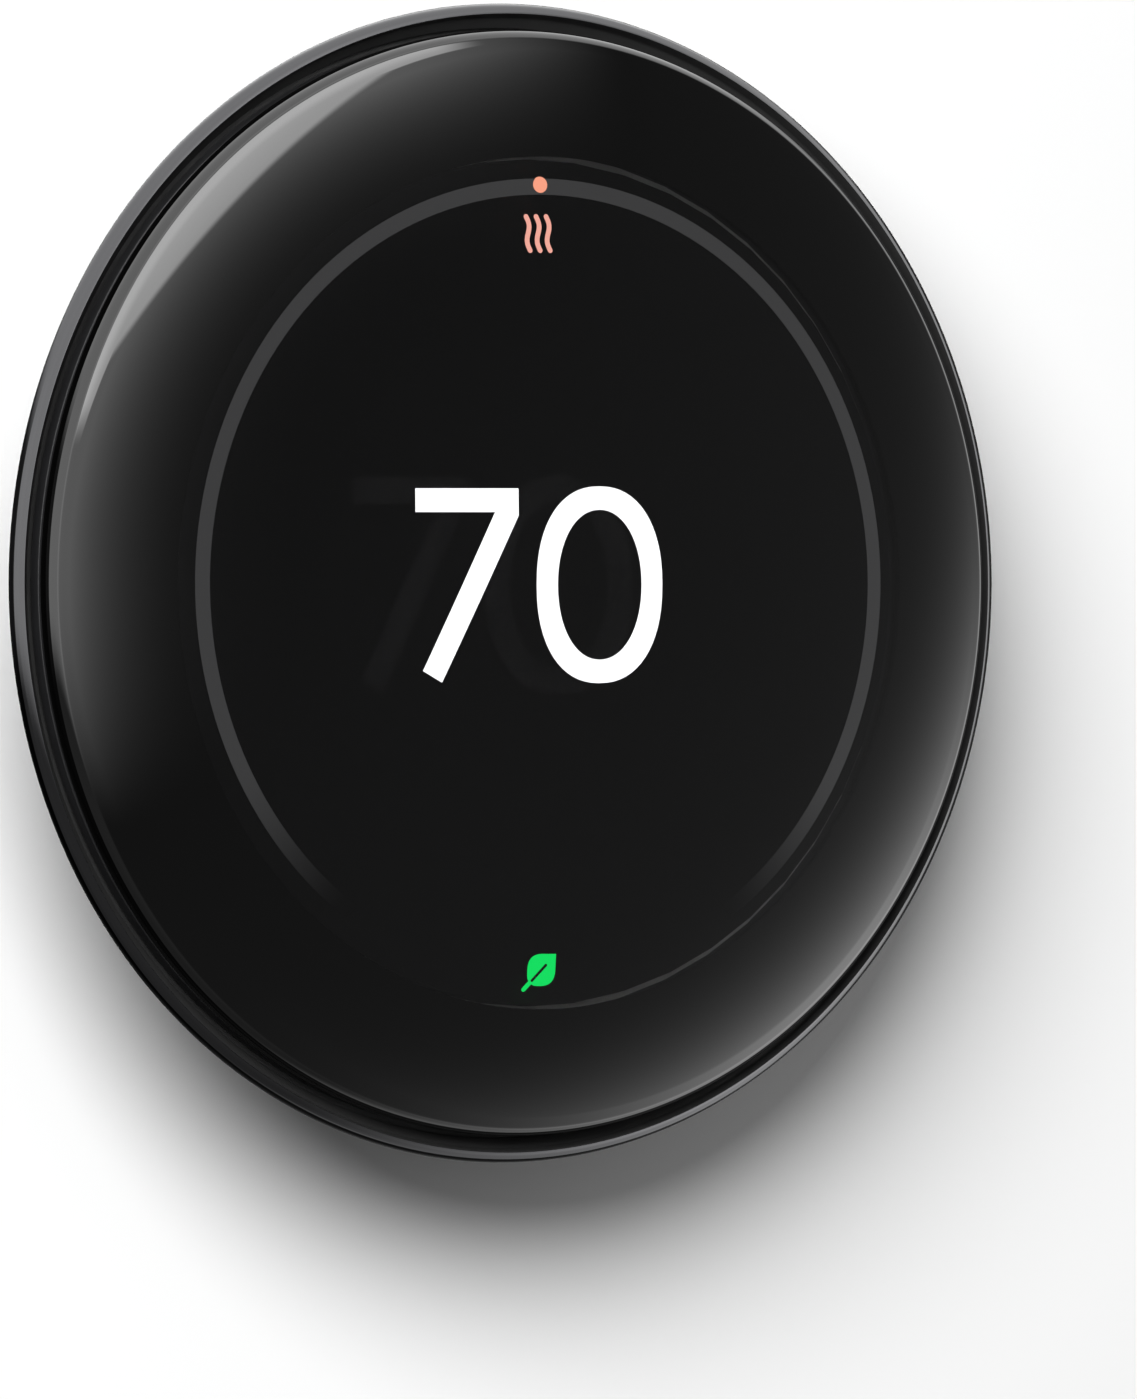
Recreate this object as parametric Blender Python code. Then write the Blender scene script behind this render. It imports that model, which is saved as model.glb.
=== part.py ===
"""A round wall thermostat with a turning metal ring, as an assembly of separate pieces.

Frame: metres, +Z up. The wall is the plane y = 0 and the room is towards -Y, so the glass faces -Y.
The origin is the centre of the base plate's back face, on the axis that the ring turns about.
A depth below is a distance from the wall, so a point at depth d has y = -d.

Four groups slide or turn on one another: the base stays on the wall, the head pulls off the base,
the face is pressed into the head, and the ring turns round the face. The terminals' tabs press into
the base, and the face presses the plunger of a click switch.
"""

import math

import bmesh
import bpy
from mathutils import Matrix, Vector

MM = 0.001

# Driving dimensions.
RING_RADIUS = 50.3 * MM
TOTAL_DEPTH = 28.2 * MM
LENS_RADIUS = 48.0 * MM
DISPLAY_RADIUS = 36.4 * MM
PRESS_TRAVEL = 0.6 * MM
PRESS_CLEARANCE = 0.4 * MM  # left between face and head when the face is pressed in
GAP = 0.3 * MM  # between pieces that rest on each other
ROUND_STEPS = 48  # sides of a large turned piece
SMALL_STEPS = 16  # sides of a small turned piece

# Base, from the wall outwards.
PLATE_RADIUS = 38.8 * MM
PLATE_FRONT = 2.0 * MM
WIRE_OPENING = (26.0 * MM, 20.0 * MM)
SCREW_SLOT = (7.0 * MM, 5.0 * MM)
SCREW_HEIGHT = 22.5 * MM  # of each wall-screw slot above and below the axis
SCREW_ACCESS_RADIUS = 4.0 * MM
BASE_PCB = (PLATE_FRONT + GAP, 3.5 * MM)
BASE_PCB_RADII = (17.2 * MM, 33.8 * MM)
BLOCK = (BASE_PCB[1] + GAP, 9.3 * MM)
BLOCK_RADII = (17.5 * MM, 32.0 * MM)
BLOCK_HALF_ANGLE = math.radians(36.5)
COVER_FRONT = 9.6 * MM
COVER_WALL = 1.3 * MM
COVER_RADIUS = 36.3 * MM
COVER_INNER_RADIUS = 16.5 * MM
VIAL_HEIGHT = 30.6 * MM
VIAL_RADIUS = 2.3 * MM
VIAL_LENGTH = 17.0 * MM
SOCKET_HEIGHT = -30.0 * MM
SOCKET_SIZE = (18.0 * MM, 4.6 * MM)
SOCKET_FRONT = 10.3 * MM
LATCH_COUNT = 3

# Wire terminals: a tab and a clamp spring in each pocket.
TERMINALS_A_SIDE = 5
TERMINAL_PITCH = math.radians(14.5)
POCKET_RADIUS = 28.3 * MM
POCKET_SIZE = (5.4 * MM, 5.4 * MM)
POCKET_FLOOR = 4.6 * MM
TAB_SIZE = (4.6 * MM, 4.6 * MM)
TAB = (7.6 * MM, 10.3 * MM)
WIRE_HOLE_RADIUS = 1.3 * MM
WIRE_HOLE_DEPTH = 6.2 * MM

# Head, from the base outwards.
HOUSING_BACK = 2.6 * MM
HOUSING_BORE = 39.2 * MM
HOUSING_BACK_RADIUS = 40.5 * MM
HOUSING_RADIUS = 44.4 * MM
HOUSING_FRONT = 15.6 * MM
REAR_COVER = (10.9 * MM, 12.0 * MM)
REAR_COVER_RADIUS = 38.8 * MM
LEDGE = (REAR_COVER[1] + GAP, 13.6 * MM)
LEDGE_RADIUS = 35.9 * MM
SCREW_CIRCLE = 37.4 * MM
SCREW_COUNT = 4
MAIN_PCB = (LEDGE[1] + GAP, 14.9 * MM)
MAIN_PCB_RADIUS = 40.6 * MM
ON_PCB = MAIN_PCB[1] + GAP  # where what stands on the board begins
BATTERY_SIZE = (34.0 * MM, 21.0 * MM)
BATTERY_HEIGHT = 20.0 * MM
BATTERY = (REAR_COVER[1] + GAP, 17.6 * MM)

# Face, which slides in the head's front bore.
BORE_RADIUS = 43.0 * MM
SKIRT = (41.2 * MM, 42.6 * MM)
SKIRT_BACK = 15.2 * MM
FLANGE = (HOUSING_FRONT + PRESS_TRAVEL + PRESS_CLEARANCE, 18.0 * MM)
FLANGE_RADIUS = 47.7 * MM
FRAME_FLOOR = (18.9 * MM, 19.6 * MM)
FRAME_STEP_RADIUS = 37.9 * MM
BACKLIGHT = (FRAME_FLOOR[1] + GAP, 20.7 * MM)
LCD = (BACKLIGHT[1] + GAP, 22.0 * MM)
LENS_BACK = 18.9 * MM
LENS_FLAT = (37.3 * MM, LCD[1] + GAP)
DOME_SPHERE = 151.0 * MM  # radius of the glass dome's sphere
DOME_EDGE = 47.2 * MM  # where the dome ends and its rounded edge begins
FLEX_SLOT_HEIGHT = -24.0 * MM

# Ring, and the track it turns on.
TRACK_RADII = (44.9 * MM, 45.6 * MM)
TRACK = (12.7 * MM, FLANGE[0] - GAP)
TRACK_LIP = (13.6 * MM, 47.1 * MM)
RING_INNER = 46.6 * MM
RING_FLANGE = (13.9 * MM, 16.3 * MM)
BAND = (14.1 * MM, 16.1 * MM)
BAND_RADII = (46.0 * MM, 46.3 * MM)

MATERIALS = {
    # name: (red, green, blue), roughness, metallic
    "black_glass": ((0.008, 0.008, 0.009), 0.04, 0.0),
    "dark_metal": ((0.045, 0.045, 0.048), 0.18, 1.0),
    "black_plastic": ((0.012, 0.012, 0.013), 0.45, 0.0),
    "light_plastic": ((0.62, 0.62, 0.60), 0.5, 0.0),
    "tab_plastic": ((0.16, 0.17, 0.18), 0.45, 0.0),
    "circuit_board": ((0.012, 0.09, 0.045), 0.4, 0.0),
    "spring_steel": ((0.55, 0.54, 0.52), 0.3, 1.0),
    "tin_plate": ((0.6, 0.6, 0.62), 0.35, 1.0),
    "connector_plastic": ((0.03, 0.03, 0.032), 0.5, 0.0),
    "glide_plastic": ((0.75, 0.75, 0.72), 0.35, 0.0),
    "vial_acrylic": ((0.55, 0.85, 0.25), 0.08, 0.0),
    "battery_foil": ((0.45, 0.46, 0.48), 0.4, 0.6),
    "panel_black": ((0.004, 0.004, 0.005), 0.3, 0.0),
    "adhesive": ((0.01, 0.01, 0.01), 0.7, 0.0),
    "flex_film": ((0.35, 0.16, 0.03), 0.4, 0.0),
    "lead_jacket": ((0.35, 0.02, 0.015), 0.5, 0.0),
}


# Building blocks.


def clear_scene():
    for obj in list(bpy.data.objects):
        bpy.data.objects.remove(obj)


def material(name):
    """The named material, made the first time that it is asked for."""
    made = bpy.data.materials.get(name)
    if made is None:
        colour, roughness, metallic = MATERIALS[name]
        made = bpy.data.materials.new(name)
        made.use_nodes = True
        shader = made.node_tree.nodes["Principled BSDF"]
        shader.inputs["Base Color"].default_value = (*colour, 1.0)
        shader.inputs["Roughness"].default_value = roughness
        shader.inputs["Metallic"].default_value = metallic
    return made


def mesh_of(name, bm):
    """A mesh from closed bmesh shapes, facing out and shaded smooth across shallow edges."""
    bmesh.ops.recalc_face_normals(bm, faces=bm.faces)
    mesh = bpy.data.meshes.new(name)
    bm.to_mesh(mesh)
    bm.free()
    mesh.shade_smooth()
    mesh.set_sharp_from_angle(angle=math.radians(30))
    return mesh


def place(name, mesh, material_name, parent, location=(0, 0, 0), turn=0.0):
    """A new object for the mesh, turned about the thermostat's axis direction and put at a location."""
    obj = bpy.data.objects.new(name, mesh)
    bpy.context.scene.collection.objects.link(obj)
    if not mesh.materials:
        mesh.materials.append(material(material_name))
    obj.parent = parent
    obj.location = location
    obj.rotation_euler = (0, turn, 0)
    return obj


def group(name):
    """An empty that carries one moving group, on the ring's axis."""
    empty = bpy.data.objects.new(name, None)
    bpy.context.scene.collection.objects.link(empty)
    return empty


def cut(target, name, bm, location=(0, 0, 0), turn=0.0):
    """Cuts the shapes in bm from the target with a hidden cutter."""
    bmesh.ops.recalc_face_normals(bm, faces=bm.faces)
    mesh = bpy.data.meshes.new(name)
    bm.to_mesh(mesh)
    bm.free()
    cutter = bpy.data.objects.new(name, mesh)
    bpy.context.scene.collection.objects.link(cutter)
    cutter.location = location
    cutter.rotation_euler = (0, turn, 0)
    cutter.hide_render = True
    cutter.display_type = "WIRE"
    boolean = target.modifiers.new(name, "BOOLEAN")
    boolean.operation = "DIFFERENCE"
    boolean.object = cutter
    return cutter


def turned(profile, steps=ROUND_STEPS, bm=None):
    """Spins (radius, depth) points about the Y axis. A profile that starts and ends on the axis is solid."""
    bm = bm or bmesh.new()
    on_axis = profile[0][0] == 0 and profile[-1][0] == 0
    verts = [bm.verts.new((r, -d, 0)) for r, d in profile]
    pairs = list(zip(verts, verts[1:]))
    if not on_axis:
        pairs.append((verts[-1], verts[0]))
    edges = [bm.edges.new(pair) for pair in pairs]
    bmesh.ops.spin(
        bm, geom=verts + edges, cent=(0, 0, 0), axis=(0, 1, 0), angle=2 * math.pi, steps=steps, use_merge=True
    )
    bmesh.ops.remove_doubles(bm, verts=bm.verts, dist=1e-6)
    return bm


def prism(outline, depths, bm=None):
    """Extrudes an outline of (x, z) points from one depth to another."""
    bm = bm or bmesh.new()
    face = bm.faces.new([bm.verts.new((x, -depths[0], z)) for x, z in outline])
    made = bmesh.ops.extrude_face_region(bm, geom=[face])["geom"]
    moved = [item for item in made if isinstance(item, bmesh.types.BMVert)]
    bmesh.ops.translate(bm, verts=moved, vec=(0, depths[0] - depths[1], 0))
    return bm


def box(size, depths, centre=(0, 0), bm=None):
    """A block of size (x, z) between two depths, centred on (x, z)."""
    left, right = centre[0] - size[0] / 2, centre[0] + size[0] / 2
    low, high = centre[1] - size[1] / 2, centre[1] + size[1] / 2
    return prism([(left, low), (right, low), (right, high), (left, high)], depths, bm)


def arc(radius, start, end, steps, centre=(0, 0)):
    """Points along a circular arc, both ends included."""
    angles = [start + (end - start) * k / steps for k in range(steps + 1)]
    return [(centre[0] + radius * math.cos(a), centre[1] + radius * math.sin(a)) for a in angles]


def circle(radius, sides, centre=(0, 0)):
    """Points round a circle, each of them once."""
    return arc(radius, 0, 2 * math.pi * (sides - 1) / sides, sides - 1, centre)


def rounded_rectangle(width, height, radius, steps=4):
    """Outline of a rectangle with rounded corners, centred on the origin."""
    points = []
    for corner in range(4):
        start = corner * math.pi / 2
        x = (width / 2 - radius) * (1 if corner in (0, 3) else -1)
        z = (height / 2 - radius) * (1 if corner in (0, 1) else -1)
        points += arc(radius, start, start + math.pi / 2, steps, (x, z))
    return points


def moved_outline(outline, x, z):
    return [(px + x, pz + z) for px, pz in outline]


def sector(radii, half_angle, steps):
    """Outline of a ring sector that points along +X."""
    inner, outer = radii
    return arc(outer, -half_angle, half_angle, steps) + arc(inner, half_angle, -half_angle, steps)


def ribbon(path, thickness):
    """Outline of a strip of even thickness along (a, b) points."""
    left, right = [], []
    for k, point in enumerate(path):
        before, after = path[max(k - 1, 0)], path[min(k + 1, len(path) - 1)]
        along = (Vector(after) - Vector(before)).normalized()
        side = Vector((-along.y, along.x)) * thickness / 2
        left.append(tuple(Vector(point) + side))
        right.append(tuple(Vector(point) - side))
    return left + right[::-1]


def strip(path, thickness, width):
    """A bent strip: the path's (a, b) become radius along +X and depth, and the width lies along Z."""
    bm = bmesh.new()
    face = bm.faces.new([bm.verts.new((a, -b, -width / 2)) for a, b in ribbon(path, thickness)])
    made = bmesh.ops.extrude_face_region(bm, geom=[face])["geom"]
    moved = [item for item in made if isinstance(item, bmesh.types.BMVert)]
    bmesh.ops.translate(bm, verts=moved, vec=(0, 0, width))
    return bm


def terminal_angles():
    """Angle of each terminal from its side's middle, lowest first."""
    middle = (TERMINALS_A_SIDE - 1) / 2
    return [(k - middle) * TERMINAL_PITCH for k in range(TERMINALS_A_SIDE)]


def on_circle(radius, angle):
    """A location at an angle in the front view, counted from +X towards +Z."""
    return (radius * math.cos(angle), 0, radius * math.sin(angle))


# The base, which stays on the wall.


def base_plate(parent):
    edge = 0.4 * MM
    profile = [
        (0, 0),
        (PLATE_RADIUS - edge, 0),
        (PLATE_RADIUS, edge),
        (PLATE_RADIUS, PLATE_FRONT - edge),
        (PLATE_RADIUS - edge, PLATE_FRONT),
        (0, PLATE_FRONT),
    ]
    plate = place("base_plate", mesh_of("base_plate", turned(profile)), "light_plastic", parent)
    through = (-1 * MM, PLATE_FRONT + 1 * MM)
    holes = prism(rounded_rectangle(*WIRE_OPENING, 5 * MM), through)
    for height in (SCREW_HEIGHT, -SCREW_HEIGHT):
        slot = rounded_rectangle(*SCREW_SLOT, SCREW_SLOT[1] / 2 - 0.01 * MM)
        prism(moved_outline(slot, 0, height), through, holes)
    cut(plate, "base_plate_holes", holes)


def base_pcb(parent):
    inner, outer = BASE_PCB_RADII
    back, front = BASE_PCB
    board = turned([(inner, back), (outer, back), (outer, front), (inner, front)])
    pcb = place("base_pcb", mesh_of("base_pcb", board), "circuit_board", parent)
    holes = bmesh.new()
    for height in (SCREW_HEIGHT, -SCREW_HEIGHT):
        prism(circle(SCREW_ACCESS_RADIUS + GAP, 24, (0, height)), (back - MM, front + MM), holes)
    cut(pcb, "base_pcb_holes", holes)


def terminal_block(side, turn, parent):
    """An arc-shaped housing with a pocket for each tab and a wire hole that faces the wire opening."""
    body = prism(sector(BLOCK_RADII, BLOCK_HALF_ANGLE, 14), BLOCK)
    name = f"terminal_block_{side}"
    block = place(name, mesh_of(name, body), "light_plastic", parent, turn=turn)
    pockets, wire_holes = bmesh.new(), bmesh.new()
    for angle in terminal_angles():
        spin = Matrix.Rotation(-angle, 4, "Y")
        pocket = box(POCKET_SIZE, (POCKET_FLOOR, BLOCK[1] + MM), (POCKET_RADIUS, 0))
        pocket.transform(spin)
        add_shape(pockets, pocket)
        hole = bmesh.new()
        inner = BLOCK_RADII[0] - MM
        length = POCKET_RADIUS - inner
        bmesh.ops.create_cone(
            hole, segments=10, radius1=WIRE_HOLE_RADIUS, radius2=WIRE_HOLE_RADIUS, depth=length, cap_ends=True
        )
        lie_radially = Matrix.Translation((inner + length / 2, -WIRE_HOLE_DEPTH, 0)) @ Matrix.Rotation(
            math.pi / 2, 4, "Y"
        )
        hole.transform(spin @ lie_radially)
        add_shape(wire_holes, hole)
    cut(block, f"{name}_pockets", pockets, turn=turn)
    cut(block, f"{name}_wire_holes", wire_holes, turn=turn)


def add_shape(target, source):
    """Moves the shapes of one bmesh into another."""
    mesh = bpy.data.meshes.new("shape")
    source.to_mesh(mesh)
    source.free()
    target.from_mesh(mesh)
    bpy.data.meshes.remove(mesh)


def terminals(side, middle_angle, parent):
    """The tabs of one side, each with its clamp spring below it. All share the same two meshes."""
    tab_mesh = bpy.data.meshes.get("tab") or tab_shape()
    spring_mesh = bpy.data.meshes.get("clamp_spring") or clamp_spring_shape()
    for number, angle in enumerate(terminal_angles(), start=1):
        at = middle_angle + angle
        centre = on_circle(POCKET_RADIUS, at)
        place(f"terminal_tab_{side}_{number}", tab_mesh, "tab_plastic", parent, centre, -at)
        place(f"clamp_spring_{side}_{number}", spring_mesh, "spring_steel", parent, turn=-at)


def tab_shape():
    """A push tab with a hollow in its front for a fingertip or a screwdriver."""
    dish = 0.35 * MM
    bm = box(TAB_SIZE, TAB)
    front = [face for face in bm.faces if abs(face.calc_center_median().y + TAB[1]) < 1e-7]
    bmesh.ops.inset_region(bm, faces=front, thickness=0.7 * MM)
    bmesh.ops.inset_region(bm, faces=front, thickness=0.6 * MM)
    bmesh.ops.translate(bm, verts=list(front[0].verts), vec=(0, dish, 0))
    return mesh_of("tab", bm)


def clamp_spring_shape():
    """A V of spring strip that opens towards the wire opening. Its upper leg ends under the tab."""
    path = [
        (26.2 * MM, 4.95 * MM),
        (29.6 * MM, 4.95 * MM),
        (30.4 * MM, 5.3 * MM),
        (30.2 * MM, 6.0 * MM),
        (27.0 * MM, 7.1 * MM),
    ]
    return mesh_of("clamp_spring", strip(path, 0.25 * MM, 3.4 * MM))


def base_cover(parent):
    """The moulded lid round the terminals, with a wall round the wire opening."""
    wall_back = BASE_PCB[0]
    inner_back = BASE_PCB[1] + GAP
    lid_back = COVER_FRONT - COVER_WALL
    edge = 0.4 * MM
    profile = [
        (COVER_INNER_RADIUS, inner_back),
        (COVER_INNER_RADIUS + COVER_WALL, inner_back),
        (COVER_INNER_RADIUS + COVER_WALL, lid_back),
        (COVER_RADIUS - COVER_WALL, lid_back),
        (COVER_RADIUS - COVER_WALL, wall_back),
        (COVER_RADIUS, wall_back),
        (COVER_RADIUS, COVER_FRONT - edge),
        (COVER_RADIUS - edge, COVER_FRONT),
        (COVER_INNER_RADIUS, COVER_FRONT),
    ]
    cover = place("base_cover", mesh_of("base_cover", turned(profile)), "light_plastic", parent)
    window_radii = (COVER_INNER_RADIUS - 2 * MM, BLOCK_RADII[1] + 0.6 * MM)
    window_angle = BLOCK_HALF_ANGLE + math.radians(1.5)
    through = (PLATE_FRONT, COVER_FRONT + MM)
    windows = prism(sector(window_radii, window_angle, 14), through)
    other_side = prism(sector(window_radii, window_angle, 14), through)
    other_side.transform(Matrix.Rotation(math.pi, 4, "Y"))
    add_shape(windows, other_side)
    cut(cover, "base_cover_terminal_windows", windows)
    holes = bmesh.new()
    through_lid = (lid_back - MM, COVER_FRONT + MM)
    for height in (SCREW_HEIGHT, -SCREW_HEIGHT):
        prism(circle(SCREW_ACCESS_RADIUS, 24, (0, height)), through_lid, holes)
    clearance = 0.8 * MM
    box((VIAL_LENGTH + clearance, 2 * VIAL_RADIUS + clearance), through_lid, (0, VIAL_HEIGHT), holes)
    box((SOCKET_SIZE[0] + clearance, SOCKET_SIZE[1] + clearance), through_lid, (0, SOCKET_HEIGHT), holes)
    cut(cover, "base_cover_holes", holes)


def level_vial(parent):
    """A rod of clear plastic lying across the top of the cover."""
    bm = bmesh.new()
    bmesh.ops.create_cone(
        bm, segments=SMALL_STEPS, radius1=VIAL_RADIUS, radius2=VIAL_RADIUS, depth=VIAL_LENGTH, cap_ends=True
    )
    bm.transform(Matrix.Rotation(math.pi / 2, 4, "Y"))
    centre_depth = COVER_FRONT - VIAL_RADIUS + GAP
    place("level_vial", mesh_of("level_vial", bm), "vial_acrylic", parent, (0, -centre_depth, VIAL_HEIGHT))


def base_socket(parent):
    """The socket that the head's plug goes into."""
    bm = box(SOCKET_SIZE, (BASE_PCB[1] + GAP, SOCKET_FRONT), (0, SOCKET_HEIGHT))
    socket = place("base_socket", mesh_of("base_socket", bm), "connector_plastic", parent)
    slot = box((14.6 * MM, 2.2 * MM), (5.4 * MM, SOCKET_FRONT + MM), (0, SOCKET_HEIGHT))
    cut(socket, "base_socket_slot", slot)


def latch_springs(parent):
    """Bent strips spaced round the cover that grip the head's skirt."""
    path = [
        (36.85 * MM, 3.0 * MM),
        (36.85 * MM, 4.0 * MM),
        (38.4 * MM, 6.0 * MM),
        (38.4 * MM, 6.6 * MM),
        (36.95 * MM, 8.8 * MM),
    ]
    mesh = mesh_of("latch_spring", strip(path, 0.35 * MM, 8.0 * MM))
    for k in range(LATCH_COUNT):
        turn = 2 * math.pi * (k + 0.25) / LATCH_COUNT
        place(f"latch_spring_{k + 1}", mesh, "spring_steel", parent, turn=turn)


# The head, which pulls off the base.


def head_housing(parent):
    edge = 0.4 * MM
    profile = [
        (HOUSING_BORE, HOUSING_BACK),
        (HOUSING_BACK_RADIUS - edge, HOUSING_BACK),
        (HOUSING_BACK_RADIUS, HOUSING_BACK + edge),
        (HOUSING_RADIUS - 0.3 * MM, 10.4 * MM),
        (HOUSING_RADIUS, 11.4 * MM),
        (HOUSING_RADIUS, HOUSING_FRONT),
        (BORE_RADIUS, HOUSING_FRONT),
        (BORE_RADIUS, LEDGE[1]),
        (LEDGE_RADIUS, LEDGE[1]),
        (LEDGE_RADIUS, LEDGE[0]),
        (HOUSING_BORE, LEDGE[0]),
    ]
    housing = place("head_housing", mesh_of("head_housing", turned(profile)), "black_plastic", parent)
    vents = bmesh.new()
    for middle in (math.pi / 2, -math.pi / 2):
        for k in range(-4, 5):
            slot = box((8 * MM, 1.3 * MM), (5.2 * MM, 9.4 * MM), (HOUSING_BORE + 2 * MM, 0))
            slot.transform(Matrix.Rotation(-(middle + k * math.radians(4.2)), 4, "Y"))
            add_shape(vents, slot)
    cut(housing, "head_housing_vents", vents)
    cut(housing, "head_housing_screw_holes", screw_holes((LEDGE[0] - MM, LEDGE[1] + MM)))


def screw_holes(depths):
    """Holes on the screw circle that clear each screw's shank."""
    holes = bmesh.new()
    for k in range(SCREW_COUNT):
        x, _, z = on_circle(SCREW_CIRCLE, 2 * math.pi * k / SCREW_COUNT)
        prism(circle(0.95 * MM, 12, (x, z)), depths, holes)
    return holes


def rear_cover(parent):
    back, front = REAR_COVER
    edge = 0.3 * MM
    profile = [
        (0, back),
        (REAR_COVER_RADIUS - edge, back),
        (REAR_COVER_RADIUS, back + edge),
        (REAR_COVER_RADIUS, front),
        (0, front),
    ]
    cover = place("rear_cover", mesh_of("rear_cover", turned(profile)), "black_plastic", parent)
    holes = screw_holes((back - MM, front + MM))
    box((17.0 * MM, 5.0 * MM), (back - MM, front + MM), (0, SOCKET_HEIGHT), holes)
    cut(cover, "rear_cover_holes", holes)


def rear_screws(parent):
    """Four pan-head screws that hold the rear cover, all one mesh."""
    head_front = REAR_COVER[0] - GAP
    head_back = head_front - 0.8 * MM
    tip = LEDGE[1] - 0.2 * MM
    profile = [
        (0, head_back),
        (0.9 * MM, head_back),
        (1.3 * MM, head_back + 0.3 * MM),
        (1.3 * MM, head_front),
        (0.62 * MM, head_front),
        (0.62 * MM, tip - 0.4 * MM),
        (0, tip),
    ]
    mesh = mesh_of("rear_screw", turned(profile, 12))
    for k in range(SCREW_COUNT):
        at = on_circle(SCREW_CIRCLE, 2 * math.pi * k / SCREW_COUNT)
        screw = place(f"rear_screw_{k + 1}", mesh, "tin_plate", parent, at)
        drive = box((1.5 * MM, 0.32 * MM), (head_back - MM, head_back + 0.4 * MM))
        cut(screw, f"rear_screw_{k + 1}_drive", drive, at)


def main_pcb(parent):
    back, front = MAIN_PCB
    profile = [(0, back), (MAIN_PCB_RADIUS, back), (MAIN_PCB_RADIUS, front), (0, front)]
    pcb = place("main_pcb", mesh_of("main_pcb", turned(profile)), "circuit_board", parent)
    clearance = 0.8 * MM
    opening = (BATTERY_SIZE[0] + clearance, BATTERY_SIZE[1] + clearance)
    cut(pcb, "main_pcb_battery_opening", box(opening, (back - MM, front + MM), (0, BATTERY_HEIGHT)))


def battery(parent):
    outline = moved_outline(rounded_rectangle(*BATTERY_SIZE, 2 * MM), 0, BATTERY_HEIGHT)
    place("battery", mesh_of("battery", prism(outline, BATTERY)), "battery_foil", parent)
    connector = box((3.6 * MM, 5.0 * MM), (ON_PCB, 17.2 * MM), (-25.5 * MM, 15 * MM))
    place("battery_connector", mesh_of("battery_connector", connector), "glide_plastic", parent)
    lead_depth = 16.2 * MM
    # An S from the battery's left edge down to the connector's top, as (x, z) in millimetres.
    route = [(-17.4, 24.0), (-18.6, 24.1), (-20.2, 23.6), (-22.2, 22.2), (-24.2, 20.4), (-25.2, 19.0)]
    route.append((-25.5, 17.9))
    curve = bpy.data.curves.new("battery_lead", "CURVE")
    curve.dimensions = "3D"
    curve.bevel_depth = 0.6 * MM
    curve.bevel_resolution = 2
    curve.use_fill_caps = True
    spline = curve.splines.new("POLY")
    spline.points.add(len(route) - 1)
    for point, (x, z) in zip(spline.points, route):
        point.co = (x * MM, -lead_depth, z * MM, 1)
    lead = bpy.data.objects.new("battery_lead", curve)
    bpy.context.scene.collection.objects.link(lead)
    curve.materials.append(material("lead_jacket"))
    lead.parent = parent


def board_components(parent):
    """What stands on the front of the main board, apart from the battery and the switch."""
    cans = [("shield_can_main", 19 * MM, 17 * MM, -18 * MM, -8 * MM)]
    cans.append(("shield_can_radio", 14 * MM, 12 * MM, 19 * MM, -3 * MM))
    for name, width, height, x, z in cans:
        outline = moved_outline(rounded_rectangle(width, height, MM, 2), x, z)
        place(name, mesh_of(name, prism(outline, (ON_PCB, ON_PCB + 1.6 * MM))), "tin_plate", parent)
    profile = [(0, ON_PCB), (6.5 * MM, ON_PCB), (6.5 * MM, 17.1 * MM), (5.7 * MM, 17.5 * MM), (0, 17.5 * MM)]
    mesh = mesh_of("speaker", turned(profile, SMALL_STEPS))
    place("speaker", mesh, "connector_plastic", parent, (21 * MM, 0, -20 * MM))
    connector = box((13 * MM, 3 * MM), (ON_PCB, ON_PCB + 0.9 * MM), (0, -14 * MM))
    place("display_connector", mesh_of("display_connector", connector), "connector_plastic", parent)
    sensor = box((3 * MM, 3 * MM), (ON_PCB, ON_PCB + 0.9 * MM), (-12 * MM, -32 * MM))
    place("temperature_sensor", mesh_of("temperature_sensor", sensor), "connector_plastic", parent)


def head_plug(parent):
    """A plug on the back of the main board: a body in the rear cover's window and a blade in the socket."""
    shoulder = SOCKET_FRONT + GAP
    half_body, half_blade = 2.0 * MM, 0.7 * MM
    blade = 6.4 * MM
    top = MAIN_PCB[0] - GAP
    outline = [
        (-half_body, top),
        (-half_body, shoulder),
        (-half_blade, shoulder),
        (-half_blade, blade),
        (half_blade, blade),
        (half_blade, shoulder),
        (half_body, shoulder),
        (half_body, top),
    ]
    width = 13.6 * MM
    bm = bmesh.new()
    corners = [bm.verts.new((-width / 2, -d, SOCKET_HEIGHT + z)) for z, d in outline]
    made = bmesh.ops.extrude_face_region(bm, geom=[bm.faces.new(corners)])["geom"]
    moved = [item for item in made if isinstance(item, bmesh.types.BMVert)]
    bmesh.ops.translate(bm, verts=moved, vec=(width, 0, 0))
    place("head_plug", mesh_of("head_plug", bm), "connector_plastic", parent)


def press_switch(parent, plunger_group):
    """The click switch in the middle of the board, and its plunger, which the face pushes."""
    switch_front = 17.2 * MM
    body = box((6 * MM, 6 * MM), (ON_PCB, switch_front))
    switch = place("switch_body", mesh_of("switch_body", body), "connector_plastic", parent)
    bore = prism(circle(1.7 * MM, SMALL_STEPS), (15.5 * MM, switch_front + MM))
    cut(switch, "switch_bore", bore)
    tip = FRAME_FLOOR[0] - GAP
    profile = [(0, 16.4 * MM), (1.3 * MM, 16.4 * MM), (1.3 * MM, tip - 0.3 * MM), (MM, tip), (0, tip)]
    mesh = mesh_of("switch_plunger", turned(profile, 16))
    place("switch_plunger", mesh, "glide_plastic", plunger_group)


# The face, which is pressed into the head.


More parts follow.
